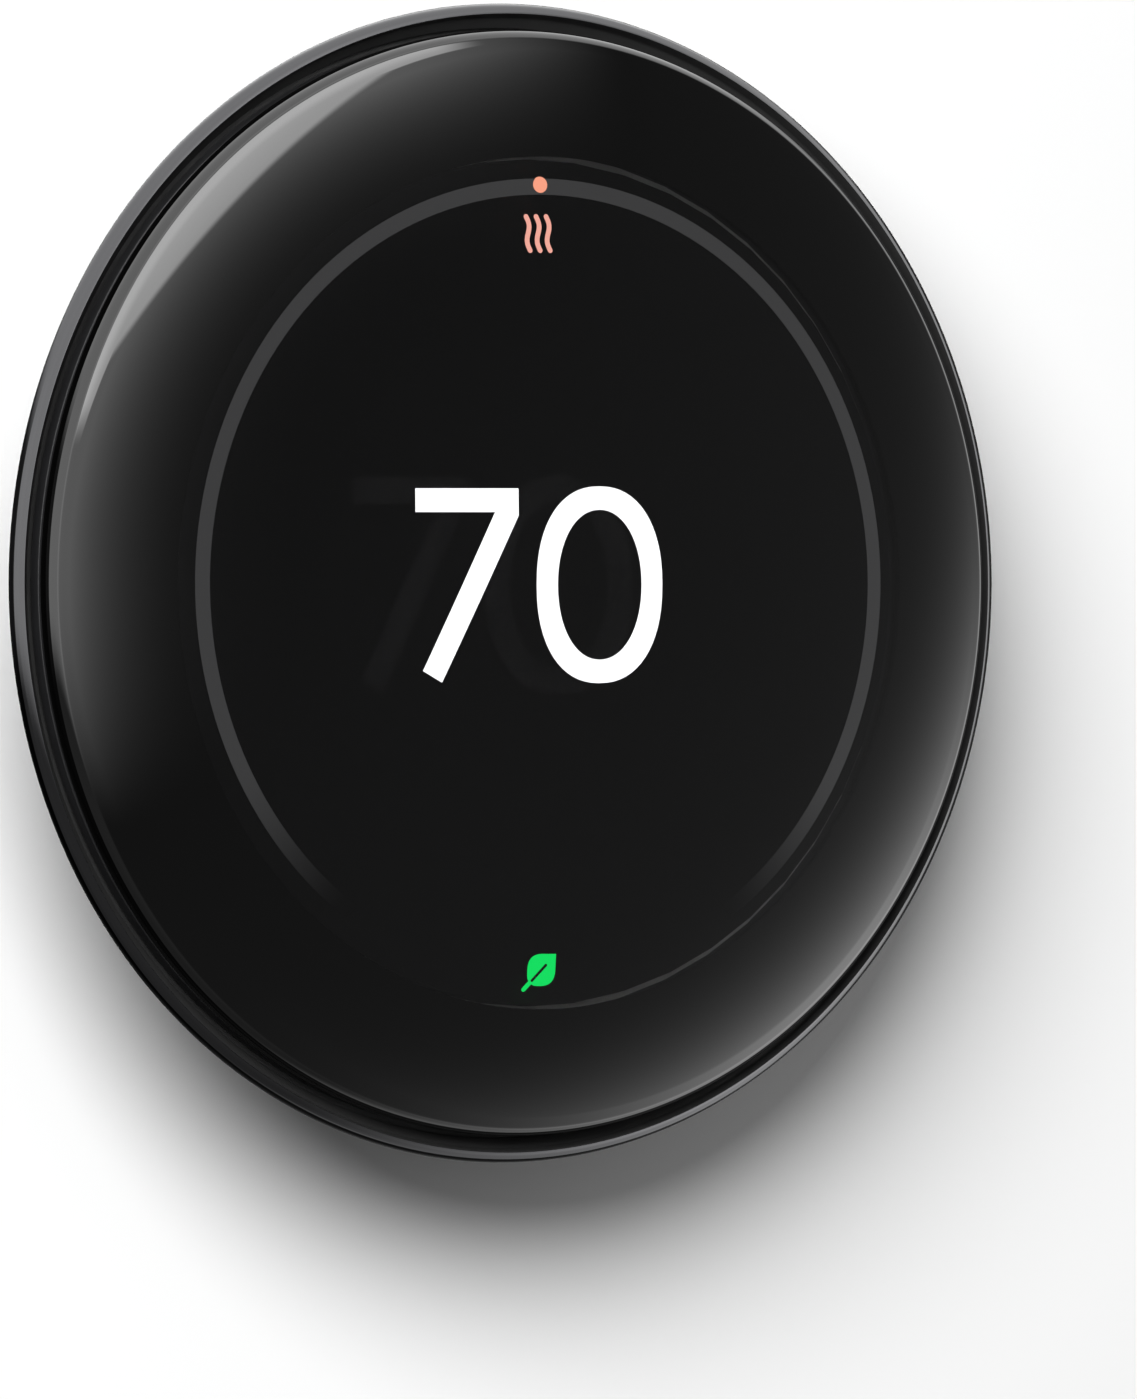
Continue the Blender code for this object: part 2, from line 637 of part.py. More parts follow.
def display_frame(parent):
    """The dish that holds the display, with a flange under the glass and a skirt in the head's bore."""
    floor_back, floor_front = FRAME_FLOOR
    profile = [
        (0, floor_front),
        (FRAME_STEP_RADIUS, floor_front),
        (FRAME_STEP_RADIUS, FLANGE[1]),
        (FLANGE_RADIUS, FLANGE[1]),
        (FLANGE_RADIUS, FLANGE[0]),
        (SKIRT[1], FLANGE[0]),
        (SKIRT[1], SKIRT_BACK),
        (SKIRT[0], SKIRT_BACK),
        (SKIRT[0], FLANGE[0]),
        (FRAME_STEP_RADIUS - 1.0 * MM, FLANGE[0]),
        (FRAME_STEP_RADIUS - 1.4 * MM, floor_back),
        (0, floor_back),
    ]
    frame = place("display_frame", mesh_of("display_frame", turned(profile)), "black_plastic", parent)
    slot = box((13 * MM, 2 * MM), (floor_back - MM, floor_front + MM), (0, FLEX_SLOT_HEIGHT))
    cut(frame, "display_frame_flex_slot", slot)


def display_stack(parent):
    """The backlight and the panel, as plain discs."""
    back_radius = DISPLAY_RADIUS + 0.5 * MM
    disc = [(0, BACKLIGHT[0]), (back_radius, BACKLIGHT[0]), (back_radius, BACKLIGHT[1]), (0, BACKLIGHT[1])]
    place("backlight", mesh_of("backlight", turned(disc)), "glide_plastic", parent)
    disc = [(0, LCD[0]), (DISPLAY_RADIUS, LCD[0]), (DISPLAY_RADIUS, LCD[1]), (0, LCD[1])]
    place("lcd_panel", mesh_of("lcd_panel", turned(disc)), "panel_black", parent)
    slot_z, connector_z = FLEX_SLOT_HEIGHT, -14.0 * MM
    path = [
        (slot_z, 19.4 * MM),
        (slot_z, 18.6 * MM),
        (slot_z + 1.0 * MM, 17.9 * MM),
        (slot_z + 5.5 * MM, 17.5 * MM),
        (connector_z - 2.0 * MM, 16.9 * MM),
        (connector_z + 1.0 * MM, 16.6 * MM),
    ]
    bm = strip(path, 0.2 * MM, 11 * MM)
    bm.transform(Matrix.Rotation(-math.pi / 2, 4, "Y"))
    place("display_flex", mesh_of("display_flex", bm), "flex_film", parent)


def dome_depth(radius):
    """Depth of the glass dome's outside at a radius."""
    return TOTAL_DEPTH - DOME_SPHERE + math.sqrt(DOME_SPHERE**2 - radius**2)


def lens_glass(parent):
    """A domed cap of glass with a flat back over the display and a rim that rests on the frame."""
    dome = [(DOME_EDGE * k / 6, dome_depth(DOME_EDGE * k / 6)) for k in range(7)]
    edge_depth = dome[-1][1]
    profile = [
        *dome,
        (DOME_EDGE + 0.5 * MM, edge_depth - 0.3 * MM),
        (LENS_RADIUS, edge_depth - 0.9 * MM),
        (LENS_RADIUS, LENS_BACK),
        (44.9 * MM, LENS_BACK),
        (44.3 * MM, 19.6 * MM),
        LENS_FLAT,
        (0, LENS_FLAT[1]),
    ]
    place("lens_glass", mesh_of("lens_glass", turned(profile)), "black_glass", parent)
    back, front = FLANGE[1] + GAP, LENS_BACK - GAP
    ring = turned([(45.0 * MM, back), (47.4 * MM, back), (47.4 * MM, front), (45.0 * MM, front)])
    place("lens_adhesive", mesh_of("lens_adhesive", ring), "adhesive", parent)


def presence_sensor(parent):
    """A sensor that looks through the dark rim of the glass, below the display."""
    bm = box((8 * MM, 4 * MM), (FLANGE[1] + GAP, 19.4 * MM), (0, -41.0 * MM))
    place("presence_sensor", mesh_of("presence_sensor", bm), "connector_plastic", parent)


def wave_spring(parent):
    """A wavy ring of spring strip between the housing's ledge and the face's skirt."""
    waves, steps = 6, 48
    inner, outer, thickness = 41.3 * MM, 42.7 * MM, 0.25 * MM
    middle, swing = 14.4 * MM, 0.3 * MM
    bm = bmesh.new()
    loops = []
    for k in range(steps):
        angle = 2 * math.pi * k / steps
        depth = middle + swing * math.sin(waves * angle)
        section = [(inner, -1), (outer, -1), (outer, 1), (inner, 1)]
        loop = []
        for radius, side in section:
            x, _, z = on_circle(radius, angle)
            loop.append(bm.verts.new((x, -(depth + side * thickness / 2), z)))
        loops.append(loop)
    for k, loop in enumerate(loops):
        following = loops[(k + 1) % steps]
        for i in range(4):
            j = (i + 1) % 4
            bm.faces.new((loop[i], loop[j], following[j], following[i]))
    place("wave_spring", mesh_of("wave_spring", bm), "spring_steel", parent)


def ring_track(parent):
    """The low-friction sleeve that the ring turns on, and the sensor that reads the ring's band."""
    inner, outer = TRACK_RADII
    back, front = TRACK
    lip_front, lip_radius = TRACK_LIP
    profile = [
        (inner, back),
        (lip_radius, back),
        (lip_radius, lip_front),
        (outer, lip_front),
        (outer, front),
        (inner, front),
    ]
    track = place("ring_track", mesh_of("ring_track", turned(profile)), "glide_plastic", parent)
    middle = (inner + outer) / 2
    window = box((7 * MM, 2.4 * MM), (lip_front + 0.1 * MM, front + MM), (0, -middle))
    cut(track, "ring_track_sensor_window", window)
    sensor = box((5 * MM, 0.7 * MM), (14.1 * MM, 16.1 * MM), (0, -middle))
    place("optical_sensor", mesh_of("optical_sensor", sensor), "connector_plastic", parent)


# The ring, which turns round the face.


def ring(parent):
    """The metal ring: a polished land in front, a bowl-shaped outside and an inner flange on the track."""
    flange_back, flange_front = RING_FLANGE
    trench_radius = 48.45 * MM
    profile = [
        (49.4 * MM, 18.6 * MM),
        (50.05 * MM, 17.95 * MM),
        (RING_RADIUS, 17.7 * MM),
        (RING_RADIUS, 17.35 * MM),
        (49.85 * MM, 16.85 * MM),
        (49.2 * MM, 16.0 * MM),
        (48.5 * MM, 15.1 * MM),
        (47.9 * MM, 14.3 * MM),
        (47.3 * MM, flange_back),
        (RING_INNER, flange_back),
        (RING_INNER, flange_front),
        (trench_radius, flange_front),
        (trench_radius, 16.9 * MM),
        (49.1 * MM, 17.6 * MM),
    ]
    place("ring", mesh_of("ring", turned(profile)), "dark_metal", parent)
    inner, outer = BAND_RADII
    back, front = BAND
    band = turned([(inner, back), (outer, back), (outer, front), (inner, front)])
    place("encoder_band", mesh_of("encoder_band", band), "adhesive", parent)


def build():
    clear_scene()
    base = group("base")
    head = group("head")
    face = group("face")
    turning = group("turning_ring")
    plunger = group("switch")
    head.parent = base
    plunger.parent = head
    face.parent = head
    turning.parent = face

    base_plate(base)
    base_pcb(base)
    terminal_block("right", 0.0, base)
    terminal_block("left", math.pi, base)
    terminals("right", 0.0, base)
    terminals("left", math.pi, base)
    base_cover(base)
    level_vial(base)
    base_socket(base)
    latch_springs(base)

    head_housing(head)
    rear_cover(head)
    rear_screws(head)
    main_pcb(head)
    battery(head)
    board_components(head)
    head_plug(head)
    press_switch(head, plunger)
    wave_spring(head)

    display_frame(face)
    display_stack(face)
    lens_glass(face)
    presence_sensor(face)
    ring_track(face)
    ring(turning)


build()
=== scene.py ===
"""The looks of the wall thermostat: glass, ring, lit display, mouldings, boards and springs.

Everything is in metres in the frame's own axes: +Z up, the wall at y = 0, and the room towards -Y.
A depth is a distance from the wall, so a point at depth d has y = -d. Profiles are (radius, depth).
"""
import math

import bmesh
import bpy
from mathutils import Matrix, Vector


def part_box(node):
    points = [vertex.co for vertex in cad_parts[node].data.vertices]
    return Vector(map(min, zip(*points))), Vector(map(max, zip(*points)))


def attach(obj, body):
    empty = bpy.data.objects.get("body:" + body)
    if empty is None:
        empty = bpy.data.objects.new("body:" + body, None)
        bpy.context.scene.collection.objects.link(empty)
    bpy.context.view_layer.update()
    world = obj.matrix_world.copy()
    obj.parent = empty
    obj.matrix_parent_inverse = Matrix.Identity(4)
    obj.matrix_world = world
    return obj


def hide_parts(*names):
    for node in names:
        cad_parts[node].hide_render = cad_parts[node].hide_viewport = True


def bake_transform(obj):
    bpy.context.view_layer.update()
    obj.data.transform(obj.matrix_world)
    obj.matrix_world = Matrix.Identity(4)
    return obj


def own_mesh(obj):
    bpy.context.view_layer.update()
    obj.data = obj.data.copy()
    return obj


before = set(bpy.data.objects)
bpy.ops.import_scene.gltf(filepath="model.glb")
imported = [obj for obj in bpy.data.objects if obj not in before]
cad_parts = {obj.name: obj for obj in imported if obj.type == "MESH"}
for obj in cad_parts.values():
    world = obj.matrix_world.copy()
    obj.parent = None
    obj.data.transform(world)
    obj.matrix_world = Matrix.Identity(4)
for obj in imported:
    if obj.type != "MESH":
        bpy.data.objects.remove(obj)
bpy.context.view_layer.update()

MM = 0.001
ROUND = 160  # sides of a large turned piece
SMALL = 40  # sides of a small turned piece


# Numbers taken from the frame.


def depths(node):
    """How far the node's back and front are from the wall."""
    low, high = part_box(node)
    return -high.y, -low.y


def outer_radius(node):
    low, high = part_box(node)
    return (high.x - low.x) / 2


def centre(node):
    low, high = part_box(node)
    return (low + high) / 2


RING_BACK, RING_FRONT = depths("ring")
RING_RADIUS = outer_radius("ring")
LENS_BACK, LENS_FRONT = depths("lens_glass")
LENS_RADIUS = outer_radius("lens_glass")
PANEL_FRONT = depths("lcd_panel")[1]
DOME_SPHERE = 151 * MM
DOME_EDGE = LENS_RADIUS - 0.8 * MM
WINDOW = 36.97 * MM  # radius of the clear glass; outside it, the glass is printed black
VIEW_YAW = math.radians(-32.3)
COVER_SCREWS = 37.4 * MM  # radius of the circle of screws that hold the rear cover
WALL_SCREW = 22.5 * MM  # height of a wall screw's slot above or below the middle
PLUG_HEIGHT = -30 * MM


# Shapes.


def arc(radius, start, end, steps, middle=(0, 0)):
    """Points along a circular arc, both ends included."""
    angles = [start + (end - start) * k / steps for k in range(steps + 1)]
    return [(middle[0] + radius * math.cos(a), middle[1] + radius * math.sin(a)) for a in angles]


def circle(radius, sides, middle=(0, 0)):
    """Points round a circle, each of them once."""
    return arc(radius, 0, 2 * math.pi * (sides - 1) / sides, sides - 1, middle)


def filleted(points, steps=4, closed=True):
    """The outline with a curve at each corner (a, b, radius). A corner (a, b) stays sharp."""
    result = []
    for k, point in enumerate(points):
        corner = Vector(point[:2])
        is_end = not closed and k in (0, len(points) - 1)
        if len(point) < 3 or is_end:
            result.append(tuple(corner))
            continue
        before = Vector(points[k - 1][:2]) - corner
        after = Vector(points[(k + 1) % len(points)][:2]) - corner
        reach = min(point[2], before.length * 0.49, after.length * 0.49)
        start, end = corner + before.normalized() * reach, corner + after.normalized() * reach
        for i in range(steps + 1):
            t = i / steps
            result.append(tuple(start * (1 - t) ** 2 + corner * 2 * t * (1 - t) + end * t * t))
    return result


def new_mesh(name, bm, sharp_angle=35):
    """A mesh from closed shapes, facing out and shaded smooth across its shallow edges."""
    bmesh.ops.recalc_face_normals(bm, faces=bm.faces)
    mesh = bpy.data.meshes.new(name)
    bm.to_mesh(mesh)
    bm.free()
    mesh.shade_smooth()
    mesh.set_sharp_from_angle(angle=math.radians(sharp_angle))
    return mesh


def turned(profile, sides=ROUND):
    """Spins (radius, depth) points about the Y axis, to a solid if both ends are on the axis."""
    bm = bmesh.new()
    on_axis = profile[0][0] == 0 and profile[-1][0] == 0
    rings = []
    for radius, depth in profile:
        if radius == 0:
            rings.append([bm.verts.new((0, -depth, 0))])
        else:
            rings.append([bm.verts.new((x, -depth, z)) for x, z in circle(radius, sides)])
    pairs = list(zip(rings, rings[1:]))
    if not on_axis:
        pairs.append((rings[-1], rings[0]))
    for a, b in pairs:
        bridge(bm, a, b, sides)
    return bm


def bridge(bm, a, b, sides):
    """Faces between two rings of vertices, either of which may be a single point."""
    for k in range(sides):
        n = (k + 1) % sides
        corners = [a[k % len(a)], a[n % len(a)], b[n % len(b)], b[k % len(b)]]
        bm.faces.new(list(dict.fromkeys(corners)))


def prism(outline, span, bm=None):
    """Extrudes an outline of (x, z) points from one depth to another."""
    bm = bm or bmesh.new()
    back = [bm.verts.new((x, -span[0], z)) for x, z in outline]
    front = [bm.verts.new((x, -span[1], z)) for x, z in outline]
    bm.faces.new(back)
    bm.faces.new(front)
    bridge(bm, back, front, len(outline))
    return bm


def joined(shapes):
    """One bmesh from several."""
    whole = bmesh.new()
    for shape in shapes:
        part = bpy.data.meshes.new("part")
        shape.to_mesh(part)
        shape.free()
        whole.from_mesh(part)
        bpy.data.meshes.remove(part)
    return whole


def box(size, span, middle=(0, 0)):
    """A box of that (width, height), between two depths, round (x, z)."""
    w, h = size[0] / 2, size[1] / 2
    x, z = middle
    return prism([(x - w, z - h), (x + w, z - h), (x + w, z + h), (x - w, z + h)], span)


def rounded_box(size, span, middle=(0, 0), corner=0.5 * MM, edge=0.15 * MM):
    """A box with rounded corners and a small round edge in front and behind."""
    outline = rounded_rectangle(size, corner, middle)
    bm = prism(outline, span)
    return softened(bm, edge)


def rounded_rectangle(size, corner, middle=(0, 0), steps=6):
    """The outline of a rectangle with round corners."""
    w, h = size[0] / 2, size[1] / 2
    x, z = middle
    points = [(x - w, z - h), (x + w, z - h), (x + w, z + h), (x - w, z + h)]
    return filleted([(*p, corner) for p in points], steps)


def softened(bm, width, segments=2, least_angle=40):
    """Rounds the edges sharper than an angle."""
    bmesh.ops.recalc_face_normals(bm, faces=bm.faces)
    least = math.radians(least_angle)
    edges = [e for e in bm.edges if e.is_manifold and e.calc_face_angle() > least]
    style = {"segments": segments, "profile": 0.5, "affect": "EDGES", "clamp_overlap": True}
    bmesh.ops.bevel(bm, geom=edges, offset=width, **style)
    return bm


def sector(radii, half_angle, steps=24):
    """A slice of a ring round +X."""
    outer = arc(radii[1], -half_angle, half_angle, steps)
    inner = arc(radii[0], half_angle, -half_angle, steps)
    return outer + inner


def spun(bm, angle):
    """Turns a shape about the Y axis, from +X towards +Z."""
    bm.transform(Matrix.Rotation(-angle, 4, "Y"))
    return bm


def carved(name, bm, cutters, edge=0.0):
    """A mesh with other shapes cut out of it, and then its sharp edges rounded."""
    scene = bpy.context.scene.collection
    bmesh.ops.recalc_face_normals(bm, faces=bm.faces)
    bmesh.ops.recalc_face_normals(cutters, faces=cutters.faces)
    objects = []
    for shape in (bm, cutters):
        mesh = bpy.data.meshes.new(name)
        shape.to_mesh(mesh)
        shape.free()
        objects.append(bpy.data.objects.new(name, mesh))
        scene.objects.link(objects[-1])
    target, tool = objects
    cutting = target.modifiers.new("cut", "BOOLEAN")
    cutting.operation, cutting.solver, cutting.object = "DIFFERENCE", "EXACT", tool
    cutting.use_self = True
    result = bmesh.new()
    result.from_object(target, bpy.context.evaluated_depsgraph_get())
    for obj in objects:
        mesh = obj.data
        bpy.data.objects.remove(obj)
        bpy.data.meshes.remove(mesh)
    bmesh.ops.dissolve_degenerate(result, dist=1e-6, edges=result.edges)
    if edge:
        softened(result, edge)
    return new_mesh(name, result)


def piece(name, mesh, material, body, replaces=()):
    """A finished piece that rides on a body, or one without a body."""
    obj = bpy.data.objects.new(name, mesh)
    bpy.context.scene.collection.objects.link(obj)
    mesh.materials.clear()
    mesh.materials.append(material)
    if body:
        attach(obj, body)
    if replaces:
        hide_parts(*replaces)
    return obj


# Materials.


class Value:
    """A number that shader nodes work out, so that it can be written as arithmetic."""

    def __init__(self, socket):
        self.socket = socket
        self.tree = socket.id_data

    def math(self, operation, *others):
        node = self.tree.nodes.new("ShaderNodeMath")
        node.operation = operation
        self.tree.links.new(self.socket, node.inputs[0])
        for place, other in zip(node.inputs[1:], others):
            if isinstance(other, Value):
                self.tree.links.new(other.socket, place)
            else:
                place.default_value = other
        return Value(node.outputs[0])

    def __add__(self, other):
        return self.math("ADD", other)

    def __sub__(self, other):
        return self.math("SUBTRACT", other)

    def __mul__(self, other):
        return self.math("MULTIPLY", other)

    def __truediv__(self, other):
        return self.math("DIVIDE", other)

    def smooth(self, low, high, to_low=0.0, to_high=1.0):
        """Goes smoothly from to_low at low to to_high at high."""
        node = self.tree.nodes.new("ShaderNodeMapRange")
        node.interpolation_type = "SMOOTHSTEP"
        self.tree.links.new(self.socket, node.inputs["Value"])
        ends = {"From Min": low, "From Max": high, "To Min": to_low, "To Max": to_high}
        for key, value in ends.items():
            node.inputs[key].default_value = value
        return Value(node.outputs["Result"])

    def into(self, socket):
        self.tree.links.new(self.socket, socket)


def shader(name, colour, roughness, metallic=0.0, **sockets):
    """A new material and its Principled node. Further sockets are named with _ for a space."""
    material = bpy.data.materials.new(name)
    material.use_nodes = True
    node = material.node_tree.nodes["Principled BSDF"]
    node.inputs["Base Color"].default_value = (*colour, 1.0)
    node.inputs["Roughness"].default_value = roughness
    node.inputs["Metallic"].default_value = metallic
    for key, value in sockets.items():
        node.inputs[key.replace("_", " ")].default_value = value
    return material, node


def position(tree):
    """The X, Y and Z of the piece's own coordinates, which are the frame's."""
    node = tree.nodes.new("ShaderNodeTexCoord")
    split = tree.nodes.new("ShaderNodeSeparateXYZ")
    tree.links.new(node.outputs["Object"], split.inputs[0])
    return [Value(split.outputs[k]) for k in range(3)]


def noise(tree, size, detail=2.0, vector=None):
    """Noise from 0 to 1 with features of about that size."""
    node = tree.nodes.new("ShaderNodeTexNoise")
    node.inputs["Scale"].default_value = 1 / size
    node.inputs["Detail"].default_value = detail
    if vector is None:
        vector = tree.nodes.new("ShaderNodeTexCoord").outputs["Object"]
    tree.links.new(vector, node.inputs["Vector"])
    return Value(node.outputs["Fac"])


def bump(principled, height, distance):
    """Height, from 0 to 1, as relief of that distance."""
    tree = principled.id_data
    node = tree.nodes.new("ShaderNodeBump")
    node.inputs["Strength"].default_value = 1.0
    node.inputs["Distance"].default_value = distance
    height.into(node.inputs["Height"])
    tree.links.new(node.outputs["Normal"], principled.inputs["Normal"])


def tone(principled, amount, dark, light):
    """Colour between dark and light, by amount from 0 to 1."""
    tree = principled.id_data
    mix = tree.nodes.new("ShaderNodeMix")
    mix.data_type = "RGBA"
    mix.inputs["A"].default_value = (*dark, 1.0)
    mix.inputs["B"].default_value = (*light, 1.0)
    amount.into(mix.inputs["Factor"])
    tree.links.new(mix.outputs["Result"], principled.inputs["Base Color"])


def shades(colour, spread):
    """A darker and a lighter shade of a colour."""
    return tuple(c * (1 - spread) for c in colour), tuple(min(c * (1 + spread), 1) for c in colour)


def black_glass():
    """Lightly tinted cover glass."""
    material, _ = shader("black_glass", (0.45, 0.45, 0.46), 0.0, Transmission_Weight=1.0, IOR=1.5)
    return material


def turned_metal(name, colour, roughness, line=0.12 * MM, relief=0.0006 * MM):
    """Polished metal with the fine lines that turning leaves round the Y axis."""
    material, node = shader(name, colour, roughness, 1.0)
    tree = node.id_data
    x, y, z = position(tree)
    radius = (x * x + z * z).math("SQRT")
    across = tree.nodes.new("ShaderNodeCombineXYZ")
    radius.into(across.inputs[0])
    y.into(across.inputs[1])
    lines = noise(tree, line, 3.0, across.outputs[0])
    patches = noise(tree, 9 * MM)
    worn = (lines * 0.7 + patches * 0.3).smooth(0.3, 0.7, roughness * 0.75, roughness * 1.3)
    worn.into(node.inputs["Roughness"])
    tone(node, lines, *shades(colour, 0.12))
    bump(node, lines, relief)
    return material


def plastic(name, colour, roughness, grain=0.18 * MM, relief=0.004 * MM, spread=0.06):
    """Moulded plastic with a fine spark-eroded grain and faint clouding."""
    material, node = shader(name, colour, roughness)
    tree = node.id_data
    clouds = noise(tree, 14 * MM, 3.0)
    tone(node, clouds, *shades(colour, spread))
    uneven = noise(tree, 3 * MM).smooth(0.3, 0.7, roughness - 0.05, roughness + 0.06)
    uneven.into(node.inputs["Roughness"])
    bump(node, noise(tree, grain, 1.0), relief)
    return material


def lit(name, colour, strength):
    """A lit part of the display's picture."""
    light = {"Emission_Color": (*colour, 1.0), "Emission_Strength": strength}
    return shader(name, (0.0, 0.0, 0.0), 0.5, Specular_IOR_Level=0.0, **light)


def moulding():
    """The pale plastic of the base."""
    return plastic("cover_plastic", (0.5, 0.51, 0.51), 0.42)


def board_green():
    """A circuit board's green varnish, raised along a coarse pattern of copper tracks."""
    material, node = shader("board", (0.01, 0.09, 0.045), 0.28)
    tree = node.id_data
    x, _, z = position(tree)
    lines = tree.nodes.new("ShaderNodeTexBrick")
    lines.inputs["Scale"].default_value = 1 / (6 * MM)
    lines.inputs["Mortar Size"].default_value = 0.03
    lines.inputs["Mortar Smooth"].default_value = 0.2
    flat = tree.nodes.new("ShaderNodeCombineXYZ")
    x.into(flat.inputs[0])
    z.into(flat.inputs[1])
    tree.links.new(flat.outputs[0], lines.inputs["Vector"])
    tracks = Value(lines.outputs["Fac"])
    tone(node, tracks, (0.008, 0.07, 0.035), (0.03, 0.2, 0.09))
    bump(node, tracks, 0.02 * MM)
    return material


def refine(nodes, material, edge=0.0):
    """Gives carried-over nodes their finish, and rounds their edges."""
    for name in nodes:
        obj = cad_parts[name]
        for slot in obj.material_slots:
            slot.material = material
        if edge:
            rounding = obj.modifiers.new("edge", "BEVEL")
            rounding.width = edge
            rounding.segments = 2
            rounding.limit_method = "ANGLE"
            rounding.angle_limit = math.radians(40)
            rounding.harden_normals = True


def copied(node, name, material, body):
    """A piece with a node's own shape, for a node that bends."""
    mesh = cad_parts[node].data.copy()
    mesh.transform(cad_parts[node].matrix_world)
    return piece(name, mesh, material, body, [node])


# The stage.


def camera():
    """Level, 32 degrees to the left of straight ahead, and far off, for almost no perspective."""
    data = bpy.data.cameras.new("camera")
    data.lens = 1400
    data.sensor_width = 36
    obj = bpy.data.objects.new("camera", data)
    bpy.context.scene.collection.objects.link(obj)
    frame_height = 121.44 * MM
    away = frame_height / 2 / (data.sensor_width / 2 / data.lens)
    back = Vector((math.sin(VIEW_YAW), -math.cos(VIEW_YAW), 0))
    right = Vector((math.cos(VIEW_YAW), math.sin(VIEW_YAW), 0))
    ring_edge = Vector((0, -17.7 * MM, 0))
    aim = ring_edge + right * 5.64 * MM - Vector((0, 0, 10.11 * MM))
    obj.location = aim + back * away
    obj.rotation_mode = "QUATERNION"
    obj.rotation_quaternion = (-back).to_track_quat("-Z", "Y")
    data.clip_end = 10
    bpy.context.scene.camera = obj


def unit(azimuth, elevation):
    """A direction from the thermostat into the room: azimuth 0 is -Y, and 90 is +X."""
    a, e = math.radians(azimuth), math.radians(elevation)
    return Vector((math.sin(a) * math.cos(e), -math.cos(a) * math.cos(e), math.sin(e)))


def cosine(degrees):
    return math.cos(math.radians(degrees))


def studio():
    """A dim room with a bright card at the upper left and soft glows there and at the lower right.

    It is dark where the middle of the glass looks, and brightens towards the directions that the
    rim of the glass mirrors.
    """
    world = bpy.data.worlds.new("studio")
    bpy.context.scene.world = world
    world.use_nodes = True
    tree = world.node_tree
    tree.nodes.clear()
    direction = tree.nodes.new("ShaderNodeTexCoord").outputs["Generated"]

    def along(axis):
        node = tree.nodes.new("ShaderNodeVectorMath")
        node.operation = "DOT_PRODUCT"
        node.inputs[1].default_value = axis
        tree.links.new(direction, node.inputs[0])
        return Value(node.outputs["Value"])

    mirrored = unit(-math.degrees(VIEW_YAW), 0)  # where the middle of the glass looks
    sideways = unit(-math.degrees(VIEW_YAW) + 90, 0)
    facing, aside, above = along(mirrored), along(sideways), along((0, 0, 1))
    # How far out towards the directions that the rim of the glass mirrors: 1 at the rim.
    rim_aside, rim_above = 0.588, 0.506
    h, v = aside / rim_aside, above / rim_above
    spread = (h * h + v * v).math("SQRT") + 0.0001

    def towards(angle):
        a = math.radians(angle)
        return (h * math.cos(a) + v * math.sin(a)) / spread

    # The glow, which grows towards the rim of the glass.
    growth = ((spread - 1) * 16.5).math("MINIMUM", 0.1).math("EXPONENT")
    upper_left = towards(140).smooth(0.3, 0.8) * 2.4
    lower_right = ((towards(322) - 1) * 6.2).math("EXPONENT") * 4.0
    glow = growth * (upper_left + lower_right) * facing.smooth(0.55, 0.75)

    # The card: a light outside a circle round this direction, so its near edge is curved.
    from_edge = along(unit(40.0, -20.4))
    card = from_edge.smooth(cosine(53.1), cosine(52.7), 1, 0)
    card = card * from_edge.smooth(cosine(56), cosine(53), 9.5, 6)
    card = card * from_edge.smooth(cosine(61), cosine(58.5))
    card = card * towards(124).smooth(0.78, 0.85)

    # What the ring mirrors: bright beyond the glass, but for a dark flag at the lower left,
    # and dark behind the wall except at the top.
    lower = above.smooth(-0.3, -0.06, 0.93, 0.0)
    flag = (lower * aside.smooth(-0.2, 0.3, 1.0, 0.0) * -1) + 1
    outside = (facing * -1).smooth(-0.79, -0.62, 0.0, 3.3) * above.smooth(-0.9, -0.5, 0.45, 1.0)
    around = outside * flag + spread.smooth(0.0, 1.0) * towards(322) * 0.08 + 0.16
    rear_side = along((0, 1, 0)).smooth(0.02, 0.12, 0.0, 0.96)
    behind = rear_side * above.smooth(0.3, 0.6, 1.0, 0.0) * -1 + 1
    total = (around + glow + card) * behind

    seen = tree.nodes.new("ShaderNodeBackground")
    seen.inputs["Color"].default_value = (0.86, 0.86, 0.86, 1)
    light = tree.nodes.new("ShaderNodeBackground")
    total.into(light.inputs["Strength"])
    ray = tree.nodes.new("ShaderNodeLightPath")
    mix = tree.nodes.new("ShaderNodeMixShader")
    out = tree.nodes.new("ShaderNodeOutputWorld")
    tree.links.new(ray.outputs["Is Camera Ray"], mix.inputs[0])
    tree.links.new(light.outputs[0], mix.inputs[1])
    tree.links.new(seen.outputs[0], mix.inputs[2])
    tree.links.new(mix.outputs[0], out.inputs[0])
    world.cycles_visibility.diffuse = False


def lamp(name, azimuth, elevation, half_angle, irradiance):
    """A round soft light that shines on the thermostat without being mirrored in it."""
    away = 1.5
    radius = away * math.tan(math.radians(half_angle))
    data = bpy.data.lights.new(name, "AREA")
    data.shape = "DISK"
    data.size = 2 * radius
    data.energy = irradiance * math.pi * away**2
    obj = bpy.data.objects.new(name, data)
    bpy.context.scene.collection.objects.link(obj)
    towards = unit(azimuth, elevation)
    obj.location = towards * away
    obj.rotation_euler = towards.to_track_quat("Z", "Y").to_euler()
    obj.visible_camera = obj.visible_glossy = obj.visible_transmission = False


def lamps():
    """A key light at the upper left, and weaker fills in front, at the right and behind."""
    lamp("key", -40, 26, 19, 4.9)
    lamp("fill", 0, 5, 45, 1.1)
    lamp("fill_right", 60, 20, 30, 0.1)
    lamp("fill_behind", 200, 25, 35, 3.0)


def sheet(name, corners, material):
    """A flat sheet of the stage."""
    mesh = bpy.data.meshes.new(name)
    mesh.from_pydata(corners, [], [range(len(corners))])
    mesh.materials.append(material)
    obj = bpy.data.objects.new(name, mesh)
    bpy.context.scene.collection.objects.link(obj)
    return obj


